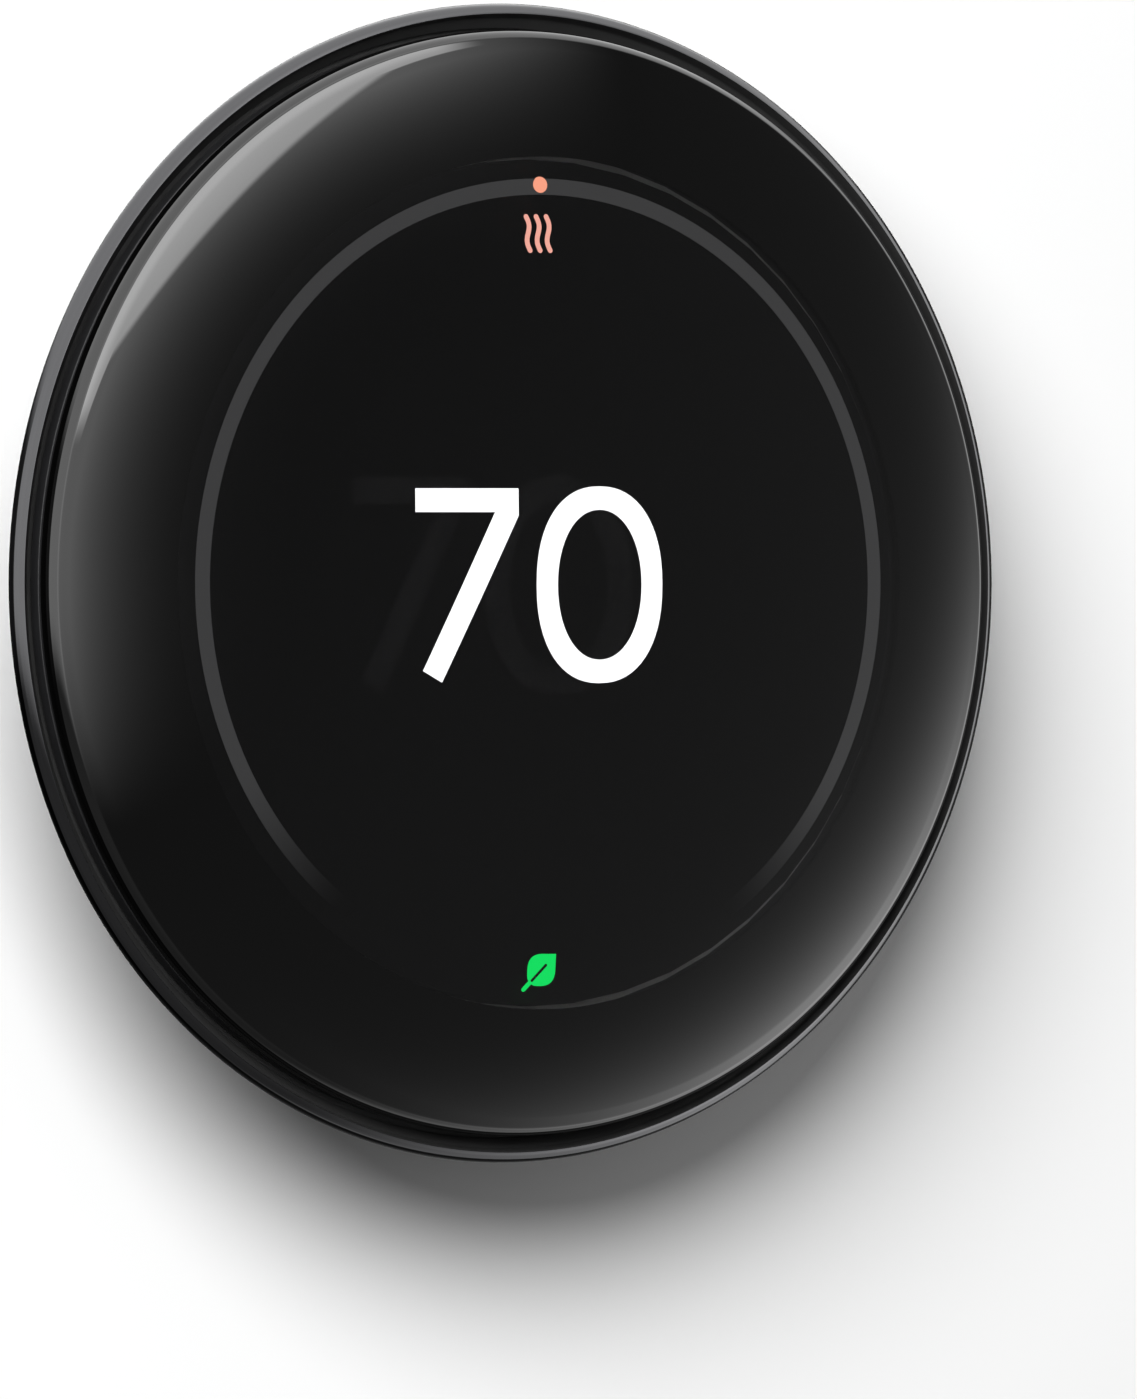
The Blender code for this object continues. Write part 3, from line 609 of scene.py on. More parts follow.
def room():
    """A pale floor, and a white wall that shows from the room's side only."""
    floor_height = -75 * MM
    half = 2.0
    paint, _ = shader("floor_paint", (0.8, 0.8, 0.8), 0.6)
    corners = [(-half, -half), (half, -half), (half, half), (-half, half)]
    floor = sheet("floor", [(x, y, floor_height) for x, y in corners], paint)
    floor.visible_diffuse = floor.visible_glossy = floor.visible_transmission = False
    paint, node = shader("wall_paint", (0.9, 0.9, 0.9), 0.8, Specular_IOR_Level=0.0)
    tree = node.id_data
    clear = tree.nodes.new("ShaderNodeBsdfTransparent")
    side = tree.nodes.new("ShaderNodeNewGeometry")
    mix = tree.nodes.new("ShaderNodeMixShader")
    tree.links.new(side.outputs["Backfacing"], mix.inputs[0])
    tree.links.new(node.outputs[0], mix.inputs[1])
    tree.links.new(clear.outputs[0], mix.inputs[2])
    tree.links.new(mix.outputs[0], tree.nodes["Material Output"].inputs[0])
    wide, high, y = 2.0, 1.5, 0.3 * MM
    corners = [(-wide, floor_height), (wide, floor_height), (wide, high), (-wide, high)]
    wall = sheet("wall", [(x, y, z) for x, z in corners], paint)
    wall.visible_shadow = False
    wall.visible_diffuse = wall.visible_glossy = wall.visible_transmission = False


# The face: glass, display and what carries them.


def lens():
    """The domed glass, flat behind the display, with a polished round edge."""
    back_flat = PANEL_FRONT + 0.3 * MM

    def dome(radius):
        return (radius, LENS_FRONT - DOME_SPHERE + math.sqrt(DOME_SPHERE**2 - radius**2))

    front = [dome(DOME_EDGE * k / 56) for k in range(57)]
    front.insert(44, dome(WINDOW))  # the 45th, in order of radius
    edge_depth = front[-1][1]
    slope = math.asin(DOME_EDGE / DOME_SPHERE)
    roll = (LENS_RADIUS - DOME_EDGE) / (1 - math.sin(slope))
    middle = (edge_depth - roll * math.cos(slope), LENS_RADIUS - roll)
    rounded = [(r, d) for d, r in arc(roll, slope, math.pi / 2, 12, middle)]
    back = filleted(
        [
            (LENS_RADIUS, LENS_BACK, 0.15 * MM),
            (44.9 * MM, LENS_BACK, 0.1 * MM),
            (44.3 * MM, 19.6 * MM, 0.3 * MM),
            (37.3 * MM, back_flat, 0.25 * MM),
            (WINDOW, back_flat),
            (36.8 * MM, back_flat),
            (0, back_flat),
        ],
        closed=False,
    )
    profile = front + rounded[1:] + [(LENS_RADIUS, LENS_BACK + 0.2 * MM)] + back
    mesh = new_mesh("lens", turned(profile, 256), 60)
    glass = piece("lens", mesh, black_glass(), "face", ["lens_glass"])
    printed, _ = shader("printed_glass", (0.0015, 0.0015, 0.0015), 0.0, IOR=1.5)
    glass.data.materials.append(printed)
    for polygon in glass.data.polygons:
        radius = math.hypot(polygon.center.x, polygon.center.z)
        polygon.material_index = int(radius > WINDOW)


PICTURE_SIZE = 0.985  # the glass magnifies the picture a little
PICTURE_OFFSET = 0.45 * MM  # sideways, as the glass shifts what is under it when seen from the left
PICTURE_BACK = PANEL_FRONT + 0.04 * MM
FIGURE_SIZE = 0.987
FIGURE_SHIFT = (-0.9 * MM, -0.15 * MM)  # the glass is thicker in the middle, and shifts it more


def flat_piece(name, outlines, material, height=0.05 * MM):
    """Thin shapes of the display's picture, standing on the panel."""
    bm = bmesh.new()
    for outline in outlines:
        placed = [(PICTURE_OFFSET + x * PICTURE_SIZE, z * PICTURE_SIZE) for x, z in outline]
        prism(placed, (PICTURE_BACK, PICTURE_BACK + height), bm)
    piece(name, new_mesh(name, bm), material, "face")


def band(path, width):
    """The outline of a stroke with round ends along (x, z) points."""
    left, right = [], []
    for k, point in enumerate(path):
        before, after = path[max(k - 1, 0)], path[min(k + 1, len(path) - 1)]
        along = (Vector(after) - Vector(before)).normalized()
        side = Vector((-along.y, along.x)) * width / 2
        left.append(tuple(Vector(point) + side))
        right.append(tuple(Vector(point) - side))
    start, end = Vector(path[0]) - Vector(path[1]), Vector(path[-1]) - Vector(path[-2])
    a, b = math.atan2(end.y, end.x), math.atan2(start.y, start.x)
    far = arc(width / 2, a + math.pi / 2, a - math.pi / 2, 8, path[-1])
    near = arc(width / 2, b + math.pi / 2, b - math.pi / 2, 8, path[0])
    return left[:-1] + far + right[-2:0:-1] + near


def ring_strip(outer, inner):
    """A closed band between two outlines with the same number of points, as quads."""
    quads = []
    for k in range(len(outer)):
        n = (k + 1) % len(outer)
        quads.append([outer[k], outer[n], inner[n], inner[k]])
    return quads


def display():
    """The panel and its picture: a fading scale, a dot, a heat sign, figures and a leaf."""
    panel = plastic("panel_surface", (0.0012, 0.0012, 0.0013), 0.25, relief=0.0, spread=0.1)
    panel.node_tree.nodes["Principled BSDF"].inputs["Specular IOR Level"].default_value = 0.0
    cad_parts["lcd_panel"].data.materials.clear()
    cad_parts["lcd_panel"].data.materials.append(panel)
    white, _ = lit("lit_white", (1.0, 1.0, 1.0), 3.2)
    salmon, _ = lit("lit_salmon", (1.0, 0.376, 0.235), 2.3)
    pale_salmon, _ = lit("lit_pale_salmon", (0.93, 0.42, 0.33), 2.3)
    green, _ = lit("lit_green", (0.0, 0.72, 0.11), 2.4)
    scale()
    flat_piece("display_dot", [circle(0.72 * MM, 32, (0.06 * MM, 34.85 * MM))], salmon, 0.08 * MM)
    heat_sign(pale_salmon)
    figures(white)
    leaf(green)


def scale():
    """The scale's band, over the top from 56 degrees below the level on either side."""
    reach = math.radians(56)
    sides = 128
    outer = arc(35.4 * MM, -reach, math.pi + reach, sides)
    inner = arc(33.97 * MM, -reach, math.pi + reach, sides)
    material, node = lit("lit_scale", (1.0, 1.0, 1.0), 0.1)
    tree = node.id_data
    x, _, z = position(tree)
    angle = z.math("ARCTAN2", x.math("ABSOLUTE"))
    strength = angle.smooth(-reach, -reach + math.radians(30), 0.0, 0.095)
    strength.into(node.inputs["Emission Strength"])
    flat_piece("display_scale", [outer + inner[::-1]], material)


def heat_sign(material):
    """Three wavy strokes side by side."""
    middle, height, pitch, swing = 30.5 * MM, 3.0 * MM, 1.03 * MM, 0.2 * MM
    strokes = []
    for k in (-1, 0, 1):
        path = []
        for i in range(17):
            t = i / 16
            wave = swing * math.sin(2 * math.pi * t) - swing * 0.7 * (1 - 2 * t)
            path.append((k * pitch + wave - 0.35 * MM, middle + height * (0.5 - t)))
        strokes.append(band(path, 0.45 * MM))
    flat_piece("display_heat_sign", strokes, material)


def figures(material):
    """A seven and a nought, as generic figures."""
    top, bar = 8.45 * MM, 2.09 * MM
    left, right = -12.67 * MM, -2.17 * MM
    seven = [
        (left, top),
        (right, top),
        (right, top - bar - 0.3 * MM),
        (-9.97 * MM, -8.60 * MM),
        (-11.89 * MM, -7.60 * MM),
        (-4.55 * MM, top - bar),
        (left, top - bar),
    ]
    shift_x, shift_z = FIGURE_SHIFT
    seven = [(x * FIGURE_SIZE + shift_x, z * FIGURE_SIZE + shift_z) for x, z in seven]
    flat_piece("display_seven", [seven], material)
    middle = 6.215 * MM * FIGURE_SIZE + shift_x

    def oval(half_width, half_height, power):
        points = []
        for k in range(64):
            a = 2 * math.pi * k / 64
            c, s = math.cos(a), math.sin(a)
            points.append((
                middle + half_width * math.copysign(abs(c) ** (2 / power), c),
                half_height * math.copysign(abs(s) ** (2 / power), s) + shift_z,
            ))
        return points

    outside = oval(6.53 * MM * FIGURE_SIZE, 8.64 * MM * FIGURE_SIZE, 2.25)
    nought = ring_strip(outside, oval(4.37 * MM * FIGURE_SIZE, 6.58 * MM * FIGURE_SIZE, 2.1))
    bm = bmesh.new()
    front = PANEL_FRONT + 0.09 * MM
    for quad in nought:
        bm.faces.new([bm.verts.new((x, -front, z)) for x, z in quad])
        bm.faces.new([bm.verts.new((x, -PICTURE_BACK, z)) for x, z in reversed(quad)])
    shrink = Matrix.Diagonal((PICTURE_SIZE, 1, PICTURE_SIZE, 1))
    bm.transform(Matrix.Translation((PICTURE_OFFSET, 0, 0)) @ shrink)
    bmesh.ops.remove_doubles(bm, verts=bm.verts, dist=1e-7)
    placed = PICTURE_OFFSET + middle * PICTURE_SIZE
    rims = [e for e in bm.edges if e.is_boundary]
    bmesh.ops.bridge_loops(bm, edges=[e for e in rims if rim_size(e, placed) > 1])
    bmesh.ops.bridge_loops(bm, edges=[e for e in bm.edges if e.is_boundary])
    piece("display_nought", new_mesh("display_nought", bm), material, "face")


def rim_size(edge, middle):
    """Above 1 for an edge on the nought's outside, and below 1 on its inside."""
    point = (edge.verts[0].co + edge.verts[1].co) / 2
    return math.hypot((point.x - middle) / (5.4 * MM), point.z / (7.6 * MM))


def leaf(material):
    """A leaf with a pointed tip at its top right, a stem at its lower left and a slit for a vein."""
    x, z, half = 0.15 * MM, -33.85 * MM, 1.43 * MM
    outline = filleted(
        [
            (x - half, z + half, 1.9 * MM),
            (x + half, z + half),
            (x + half, z - half, 1.9 * MM),
            (x - half, z - half, 1.1 * MM),
        ],
        8,
    )
    flat_piece("display_leaf", [outline], material)
    slit, _ = shader("leaf_slit", (0.001, 0.001, 0.001), 0.5)
    vein = band([(x - 0.95 * MM, z - 0.95 * MM), (x + 0.42 * MM, z + 0.42 * MM)], 0.25 * MM)
    flat_piece("display_leaf_vein", [vein], slit, 0.08 * MM)
    stem = band([(x - 1.75 * MM, z - 1.75 * MM), (x - 1.2 * MM, z - 1.2 * MM)], 0.4 * MM)
    flat_piece("display_leaf_stem", [stem], material, 0.06 * MM)


# The ring.


def ring():
    """The metal ring: a polished land in front, a bowl-shaped outside and a groove inside."""
    steel = turned_metal("dark_steel", (0.058, 0.058, 0.06), 0.12)
    land = arc(1.1 * MM, math.radians(45), math.pi / 2, 12, (17.5 * MM, 49.2 * MM))
    profile = filleted(
        [
            (49.42 * MM, RING_FRONT, 0.03 * MM),
            *[(radius, depth) for depth, radius in land],
            (RING_RADIUS, 17.35 * MM, 0.2 * MM),
            (49.85 * MM, 16.85 * MM, 0.2 * MM),
            (49.2 * MM, 16.0 * MM, 0.5 * MM),
            (48.5 * MM, 15.1 * MM, 0.5 * MM),
            (47.9 * MM, 14.3 * MM, 0.5 * MM),
            (47.3 * MM, RING_BACK, 0.2 * MM),
            (46.6 * MM, RING_BACK, 0.1 * MM),
            (46.6 * MM, 16.3 * MM, 0.1 * MM),
            (48.15 * MM, 16.3 * MM),
            (48.15 * MM, 16.9 * MM, 0.1 * MM),
            (49.1 * MM, 17.6 * MM, 0.2 * MM),
        ]
    )
    mesh = new_mesh("turning_ring", turned(profile, 256), 50)
    turning = piece("turning_ring", mesh, steel, "turning_ring", ["ring"])
    turning.data.materials.append(plastic("groove_paint", (0.03, 0.03, 0.03), 0.4))
    groove_radius, groove_back = 49.38 * MM, 16.2 * MM
    for polygon in turning.data.polygons:
        radius = math.hypot(polygon.center.x, polygon.center.z)
        in_groove = radius < groove_radius and -polygon.center.y > groove_back
        polygon.material_index = int(in_groove)


# The head: housing, rear cover, boards and what is on them.


def housing():
    """The head's skirt, with air slots at the top and the bottom and a fine parting line."""
    back, front = depths("head_housing")
    radius = outer_radius("head_housing")
    bore, back_radius = 39.2 * MM, 40.5 * MM
    ledge_back, ledge_front = 12.3 * MM, 13.6 * MM
    line = 0.12 * MM
    profile = filleted(
        [
            (bore, back, 0.15 * MM),
            (back_radius - 0.35 * MM, back, 0.35 * MM),
            (back_radius, back + 0.4 * MM, 0.3 * MM),
            (radius - 0.3 * MM, 10.4 * MM, 0.5 * MM),
            (radius, 11.4 * MM, 0.5 * MM),
            (radius, 12.6 * MM),
            (radius - line, 12.6 * MM + line),
            (radius, 12.6 * MM + 2 * line),
            (radius, front, 0.3 * MM),
            (43.0 * MM, front, 0.2 * MM),
            (43.0 * MM, ledge_front, 0.1 * MM),
            (35.9 * MM, ledge_front, 0.15 * MM),
            (35.9 * MM, ledge_back, 0.15 * MM),
            (bore, ledge_back, 0.2 * MM),
        ]
    )
    slots = []
    for middle in (math.pi / 2, -math.pi / 2):
        for k in range(-4, 5):
            slot = rounded_vent((8 * MM, 1.3 * MM), (5.2 * MM, 9.4 * MM), bore + 2 * MM)
            slots.append(spun(slot, middle + k * math.radians(4.2)))
    slots += screw_holes((ledge_back - MM, ledge_front + MM))
    mesh = carved("housing", turned(profile), joined(slots))
    black = plastic("housing_plastic", (0.016, 0.016, 0.017), 0.38, spread=0.15)
    piece("housing", mesh, black, "head", ["head_housing"])


def screw_holes(span):
    """Cutters for the four holes that the rear cover's screws go through."""
    holes = []
    for k in range(4):
        a = k * math.pi / 2
        middle = (COVER_SCREWS * math.cos(a), COVER_SCREWS * math.sin(a))
        holes.append(prism(circle(0.95 * MM, 20, middle), span))
    return holes


def rounded_vent(size, span, distance):
    """A slot through the skirt whose two ends are round."""
    half = size[1] / 2
    middle = (span[0] + span[1]) / 2
    reach = (span[1] - span[0]) / 2 - half
    right = arc(half, math.radians(-90), math.radians(90), 6, (reach, 0))
    left = arc(half, math.radians(90), math.radians(270), 6, (-reach, 0))
    bm = bmesh.new()
    ends = []
    for x in (distance - size[0] / 2, distance + size[0] / 2):
        ends.append([bm.verts.new((x, -(middle + depth), z)) for depth, z in right + left])
        bm.faces.new(ends[-1])
    bridge(bm, ends[0], ends[1], len(ends[0]))
    return bm


def rear():
    """The plate behind the board, with moulded recesses, and its four screws."""
    back, front = depths("rear_cover")
    radius = outer_radius("rear_cover")
    edge = 0.3 * MM
    rim = [(radius - edge, back, 0.1 * MM), (radius, back + edge, 0.1 * MM), (radius, front)]
    profile = filleted([(0, back), *rim, (0, front)])
    cutters = [box((17 * MM, 5 * MM), (back - MM, front + MM), (0, PLUG_HEIGHT))]
    cutters += screw_holes((back - MM, front + MM))
    recess = (back - MM, back + 0.35 * MM)
    cutters.append(prism(rounded_rectangle((36 * MM, 23 * MM), 2 * MM, (0, 20 * MM)), recess))
    for k in range(12):
        angle = math.radians(30 * k + 15)
        if abs(math.sin(angle)) < 0.9:
            slice_ = prism(sector((31 * MM, 34.5 * MM), math.radians(11)), recess)
            cutters.append(spun(slice_, angle))
    for x in (-20 * MM, 20 * MM):
        cutters.append(prism(rounded_rectangle((12 * MM, 20 * MM), 2 * MM, (x, -8 * MM)), recess))
    for k in range(7):
        cutters.append(box((0.8 * MM, 14 * MM), recess, ((k - 3) * 2.2 * MM, -10 * MM)))
    mesh = carved("rear_plate", turned(profile), joined(cutters), 0.06 * MM)
    black = plastic("rear_plastic", (0.02, 0.02, 0.021), 0.45, spread=0.15)
    piece("rear_plate", mesh, black, "head", ["rear_cover"])
    steel = turned_metal("screw_steel", (0.55, 0.55, 0.53), 0.3)
    for k in range(1, 5):
        screw(f"rear_screw_{k}", k, steel)


def screw(node, k, steel):
    """A pan-head screw with a cross recess."""
    middle = centre(node)
    back, front = depths(node)
    top = 10.6 * MM
    profile = filleted(
        [
            (0, back),
            (0.75 * MM, back, 0.3 * MM),
            (1.3 * MM, back + 0.35 * MM, 0.3 * MM),
            (1.3 * MM, top),
            (0.6 * MM, top),
        ],
        closed=False,
    )
    depth, step = top, 0.45 * MM
    while depth + step < front - 0.5 * MM:
        profile += [(0.48 * MM, depth + step / 2), (0.62 * MM, depth + step)]
        depth += step
    profile += [(0.45 * MM, front - 0.3 * MM), (0, front)]
    shank = turned(profile, 24)
    recess, length, width = (back - MM, back + 0.4 * MM), 1.5 * MM, 0.32 * MM
    cross = [box((length, width), recess), box((width, length), recess)]
    mesh = carved("screw", shank, joined(cross))
    mesh.transform(Matrix.Translation((middle.x, 0, middle.z)))
    piece(f"screw_{k}", mesh, steel, "head", [node])


def boards():
    """Finishes for both boards and what stands on them, with small parts added."""
    refine(["main_pcb", "base_pcb"], board_green(), 0.04 * MM)
    tin = turned_metal("tin", (0.62, 0.62, 0.6), 0.32, 1.5 * MM, 0.004 * MM)
    refine(["shield_can_main", "shield_can_radio"], tin, 0.12 * MM)
    black = plastic("component_black", (0.018, 0.018, 0.018), 0.4)
    sensors = ["temperature_sensor", "presence_sensor", "optical_sensor"]
    refine(["speaker", "display_connector", "switch_body", *sensors], black, 0.08 * MM)
    foil = turned_metal("battery_foil", (0.5, 0.51, 0.52), 0.36, 2.5 * MM, 0.01 * MM)
    refine(["battery"], foil, 0.5 * MM)
    pale = plastic("pale_plastic", (0.72, 0.71, 0.66), 0.4)
    refine(["battery_connector", "switch_plunger", "backlight"], pale, 0.06 * MM)
    refine(["battery_lead"], plastic("lead_jacket", (0.03, 0.03, 0.03), 0.45))
    film = plastic("flex_film", (0.42, 0.17, 0.03), 0.3)
    flex = copied("display_flex", "display_ribbon", film, None)
    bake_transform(flex)
    spring = turned_metal("spring_steel", (0.5, 0.49, 0.46), 0.28)
    refine(["encoder_band"], spring)
    wave = copied("wave_spring", "wave_ring", spring, "head")
    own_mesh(wave)
    refine(["lens_adhesive"], plastic("adhesive", (0.02, 0.02, 0.02), 0.7))
    board_parts(black, pale)


def board_parts(black, pale):
    """Chips on the main board, and a row of capacitors along its lower edge."""
    front = depths("main_pcb")[1]
    above_board = front + 0.02 * MM
    chips = []
    for x, z, width, height in (
        (-30, 4, 4, 4),
        (-30, -6, 3, 5),
        (33, 8, 4, 3),
        (30, 2, 3, 3),
        (8, -24, 6, 6),
        (-4, -25, 3, 4),
        (5, -33, 5, 2),
    ):
        size, span = (width * MM, height * MM), (above_board, front + 0.75 * MM)
        chips.append(rounded_box(size, span, (x * MM, z * MM), 0.1 * MM, 0.06 * MM))
    piece("board_chips", new_mesh("board_chips", joined(chips)), black, "head")
    row_radius, count = 38.2 * MM, 26
    small = []
    for k in range(count):
        angle = math.radians(198 + 144 * k / (count - 1))
        middle = (row_radius * math.cos(angle), row_radius * math.sin(angle))
        span = (above_board, front + 0.4 * MM)
        small.append(rounded_box((0.8 * MM, 0.5 * MM), span, middle, 0.05 * MM, 0.04 * MM))
    mesh = new_mesh("board_capacitors", joined(small))
    piece("board_capacitors", mesh, pale, "head")


def plug():
    """The head's plug with a row of gilt contacts on its blade, and its socket's gilt springs."""
    black = plastic("plug_plastic", (0.02, 0.02, 0.022), 0.4)
    refine(["head_plug", "base_socket"], black, 0.1 * MM)
    gilt = turned_metal("gilt", (0.85, 0.6, 0.25), 0.25)
    blades, springs = [], []
    for k in range(10):
        x = (k - 4.5) * 1.27 * MM
        for side in (-1, 1):
            z = PLUG_HEIGHT + side * 0.705 * MM
            blades.append(box((0.6 * MM, 0.05 * MM), (6.6 * MM, 10.2 * MM), (x, z)))
            z = PLUG_HEIGHT + side * 1.06 * MM
            springs.append(box((0.6 * MM, 0.06 * MM), (5.6 * MM, 10.2 * MM), (x, z)))
    piece("plug_contacts", new_mesh("plug_contacts", joined(blades)), gilt, "head")
    mesh = new_mesh("socket_contacts", joined(springs))
    piece("socket_contacts", mesh, gilt, "base")


def carriers():
    """The dish behind the display and the sleeve under the ring."""
    floor_back, floor_front = 18.9 * MM, 19.6 * MM
    flange_back, flange_front = 16.6 * MM, 18.0 * MM
    profile = filleted(
        [
            (0, floor_front),
            (37.9 * MM, floor_front, 0.2 * MM),
            (37.9 * MM, flange_front, 0.2 * MM),
            (47.7 * MM, flange_front, 0.15 * MM),
            (47.7 * MM, flange_back, 0.25 * MM),
            (42.6 * MM, flange_back, 0.2 * MM),
            (42.6 * MM, 15.2 * MM, 0.15 * MM),
            (41.2 * MM, 15.2 * MM, 0.15 * MM),
            (41.2 * MM, flange_back, 0.2 * MM),
            (36.9 * MM, flange_back, 0.3 * MM),
            (36.5 * MM, floor_back, 0.3 * MM),
            (0, floor_back),
        ],
        closed=False,
    )
    black = plastic("frame_plastic", (0.014, 0.014, 0.015), 0.42, spread=0.15)
    slot = box((13 * MM, 2 * MM), (floor_back - MM, floor_front + MM), (0, -24 * MM))
    mesh = carved("dish", turned(profile), slot)
    piece("dish", mesh, black, "face", ["display_frame"])
    back, front = depths("ring_track")
    profile = filleted(
        [
            (44.9 * MM, back, 0.1 * MM),
            (47.1 * MM, back, 0.3 * MM),
            (47.1 * MM, 13.6 * MM, 0.15 * MM),
            (45.6 * MM, 13.6 * MM, 0.1 * MM),
            (45.6 * MM, front, 0.1 * MM),
            (44.9 * MM, front, 0.1 * MM),
        ]
    )
    window = box((7 * MM, 2.4 * MM), (13.7 * MM, front + MM), (0, -45.25 * MM))
    slide = plastic("slide_plastic", (0.035, 0.035, 0.036), 0.35)
    mesh = carved("sleeve", turned(profile), window)
    piece("sleeve", mesh, slide, "face", ["ring_track"])


# The base, which stays on the wall.


def plate():
    """The wall plate, with rounded edges, dished screw slots and moulded pockets in its back."""
    back, front = depths("base_plate")
    radius = outer_radius("base_plate")
    rim = [(radius, back, 0.4 * MM), (radius, front, 0.4 * MM)]
    profile = filleted([(0, back), *rim, (0, front)], closed=False)
    through = (back - MM, front + MM)
    cutters = [prism(rounded_rectangle((26 * MM, 20 * MM), 5 * MM), through)]
    for z in (WALL_SCREW, -WALL_SCREW):
        cutters.append(prism(rounded_rectangle((7 * MM, 5 * MM), 2.49 * MM, (0, z)), through))
        dished = (front - 0.5 * MM, front + MM)
        cutters.append(prism(rounded_rectangle((9.6 * MM, 7.6 * MM), 3.79 * MM, (0, z)), dished))
    pocket = (back - MM, back + 0.9 * MM)
    for k in range(12):
        outer = prism(sector((31.5 * MM, 36.5 * MM), math.radians(13)), pocket)
        cutters.append(spun(outer, math.radians(30 * k)))
    for middle in (0, math.pi):
        for k in (-1, 0, 1):
            inner = prism(sector((17 * MM, 29.8 * MM), math.radians(11)), pocket)
            cutters.append(spun(inner, middle + math.radians(26 * k)))
    mesh = carved("plate", turned(profile), joined(cutters), 0.12 * MM)
    piece("plate", mesh, moulding(), "base", ["base_plate"])


def cover():
    """The lid round the terminals, with openings for the screws, the level and the plug."""
    front = depths("base_cover")[1]
    inner, outer, wall = 16.5 * MM, outer_radius("base_cover"), 1.3 * MM
    lid_back = front - wall
    profile = filleted(
        [
            (inner, 3.8 * MM, 0.2 * MM),
            (inner + wall, 3.8 * MM, 0.2 * MM),
            (inner + wall, lid_back, 0.3 * MM),
            (outer - wall, lid_back, 0.3 * MM),
            (outer - wall, 2.3 * MM, 0.2 * MM),
            (outer, 2.3 * MM, 0.2 * MM),
            (outer, front, 0.8 * MM),
            (inner, front, 0.5 * MM),
        ]
    )
    through = (2.0 * MM, front + MM)
    cutters = []
    for side in (0, math.pi):
        window = prism(sector((14.5 * MM, 32.6 * MM), math.radians(38)), through)
        cutters.append(spun(window, side))
    lid = (lid_back - MM, front + MM)
    for z in (WALL_SCREW, -WALL_SCREW):
        cutters.append(prism(circle(4 * MM, SMALL, (0, z)), lid))
    cutters.append(prism(rounded_rectangle((17.8 * MM, 5.4 * MM), 0.8 * MM, (0, 30.6 * MM)), lid))
    cutters.append(prism(rounded_rectangle((18.8 * MM, 5.4 * MM), 0.5 * MM, (0, PLUG_HEIGHT)), lid))
    mesh = carved("lid", turned(profile), joined(cutters), 0.15 * MM)
    piece("lid", mesh, moulding(), "base", ["base_cover"])


def terminals():
    """Terminal blocks, their push tabs with dished tops, and the springs that bend under them."""
    block_plastic = plastic("block_plastic", (0.55, 0.56, 0.56), 0.42)
    tab_plastic = plastic("tab_plastic", (0.74, 0.75, 0.76), 0.36)
    steel = turned_metal("clamp_steel", (0.6, 0.58, 0.54), 0.28)
    for side in ("right", "left"):
        refine([f"terminal_block_{side}"], block_plastic, 0.12 * MM)
        for k in range(1, 6):
            place = f"{side}_{k}"
            node, body = f"terminal_tab_{place}", f"tab_{place}"
            spot = centre(node)
            mesh = tab_mesh(math.atan2(spot.z, spot.x))
            piece(f"tab_top_{place}", mesh, tab_plastic, body, [node])
            bent = copied(f"clamp_spring_{place}", f"clamp_leg_{place}", steel, None)
            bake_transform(bent)


def tab_mesh(angle):
    """A push tab at that angle round the base, with a dished top."""
    back, front = 7.6 * MM, 10.3 * MM
    outline = rounded_rectangle((4.6 * MM, 4.6 * MM), 0.7 * MM, (28.3 * MM, 0))
    body = prism(outline, (back, front))
    dish = bmesh.new()
    bmesh.ops.create_uvsphere(dish, u_segments=32, v_segments=16, radius=4.2 * MM)
    dish.transform(Matrix.Translation((28.3 * MM, -(front + 3.85 * MM), 0)))
    return carved("tab", spun(body, angle), spun(dish, angle), 0.1 * MM)


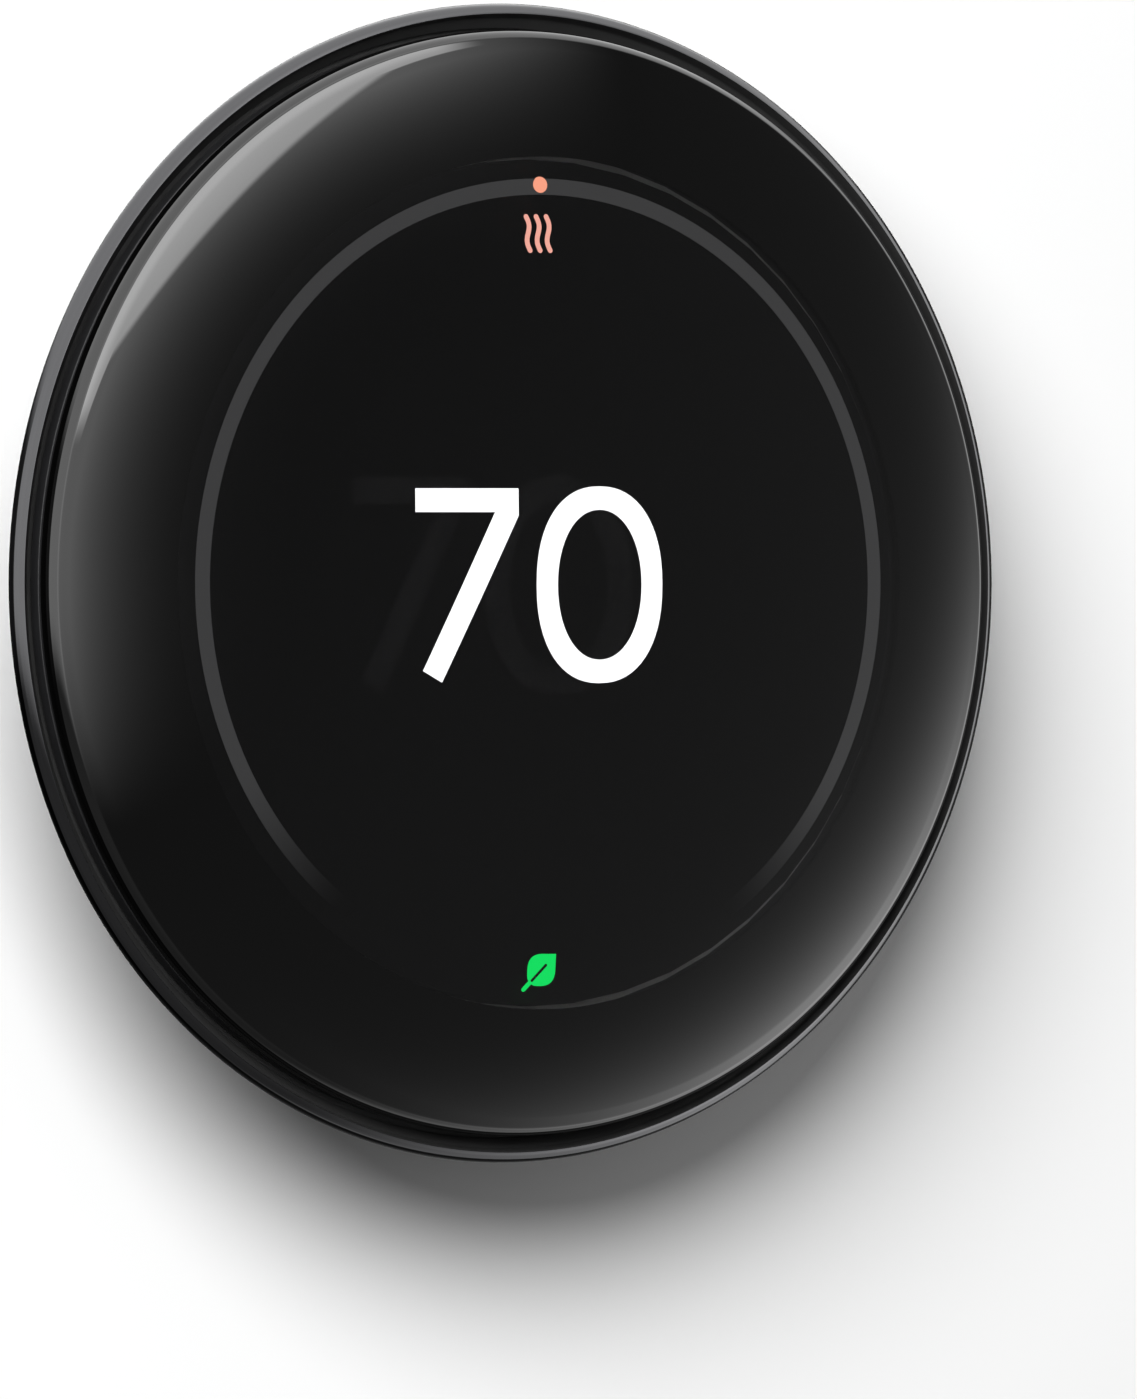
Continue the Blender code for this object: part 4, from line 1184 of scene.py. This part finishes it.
def vial():
    """The level: a clear tube of green liquid with two black lines round it."""
    middle = centre("level_vial")
    low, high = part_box("level_vial")
    radius, half = (high.z - low.z) / 2, (high.x - low.x) / 2

    def along_x(profile, sides=48):
        bm = turned(profile, sides)
        bm.transform(Matrix.Translation(middle) @ Matrix.Rotation(math.pi / 2, 4, "Z"))
        return bm

    acrylic, _ = shader("vial_acrylic", (0.9, 0.95, 0.92), 0.02, Transmission_Weight=1.0, IOR=1.49)
    bore = radius - 0.6 * MM
    corners = [(bore, -half), (radius, -half, 0.3 * MM), (radius, half, 0.3 * MM), (bore, half)]
    tube = new_mesh("vial_tube", along_x(filleted(corners)))
    piece("vial_tube", tube, acrylic, "base", ["level_vial"])
    fit = bore - 0.04 * MM
    ends = []
    for side in (-1, 1):
        outer, inner = side * half, side * (half - 0.8 * MM)
        ends.append(along_x([(0, outer), (fit, outer), (fit, inner), (0, inner)]))
    pale = plastic("vial_end", (0.8, 0.8, 0.8), 0.4)
    piece("vial_ends", new_mesh("vial_ends", joined(ends)), pale, "base")
    liquid, _ = shader("vial_liquid", (0.45, 0.95, 0.1), 0.05, Transmission_Weight=0.6, IOR=1.36)
    inside, length = bore - 0.06 * MM, half - 0.9 * MM
    wall = [(inside, -length, 0.4 * MM), (inside, length, 0.4 * MM)]
    fill = filleted([(0, -length), *wall, (0, length)], closed=False)
    piece("vial_liquid", new_mesh("vial_liquid", along_x(fill)), liquid, "base")
    dark = plastic("vial_line", (0.01, 0.01, 0.01), 0.5)
    rings = []
    low, high, half_width = bore - 0.05 * MM, bore - 0.01 * MM, 0.15 * MM
    for x in (-2.6 * MM, 2.6 * MM):
        left, right = x - half_width, x + half_width
        rings.append(along_x([(low, left), (high, left), (high, right), (low, right)]))
    piece("vial_lines", new_mesh("vial_lines", joined(rings)), dark, "base")


def latches():
    """The base's three grip springs."""
    steel = turned_metal("latch_steel", (0.58, 0.56, 0.52), 0.26)
    refine([f"latch_spring_{k}" for k in (1, 2, 3)], steel, 0.04 * MM)


camera()
studio()
lamps()
room()
lens()
display()
ring()
housing()
rear()
boards()
plug()
carriers()
plate()
cover()
terminals()
vial()
latches()

bpy.context.scene.view_settings.view_transform = "Standard"
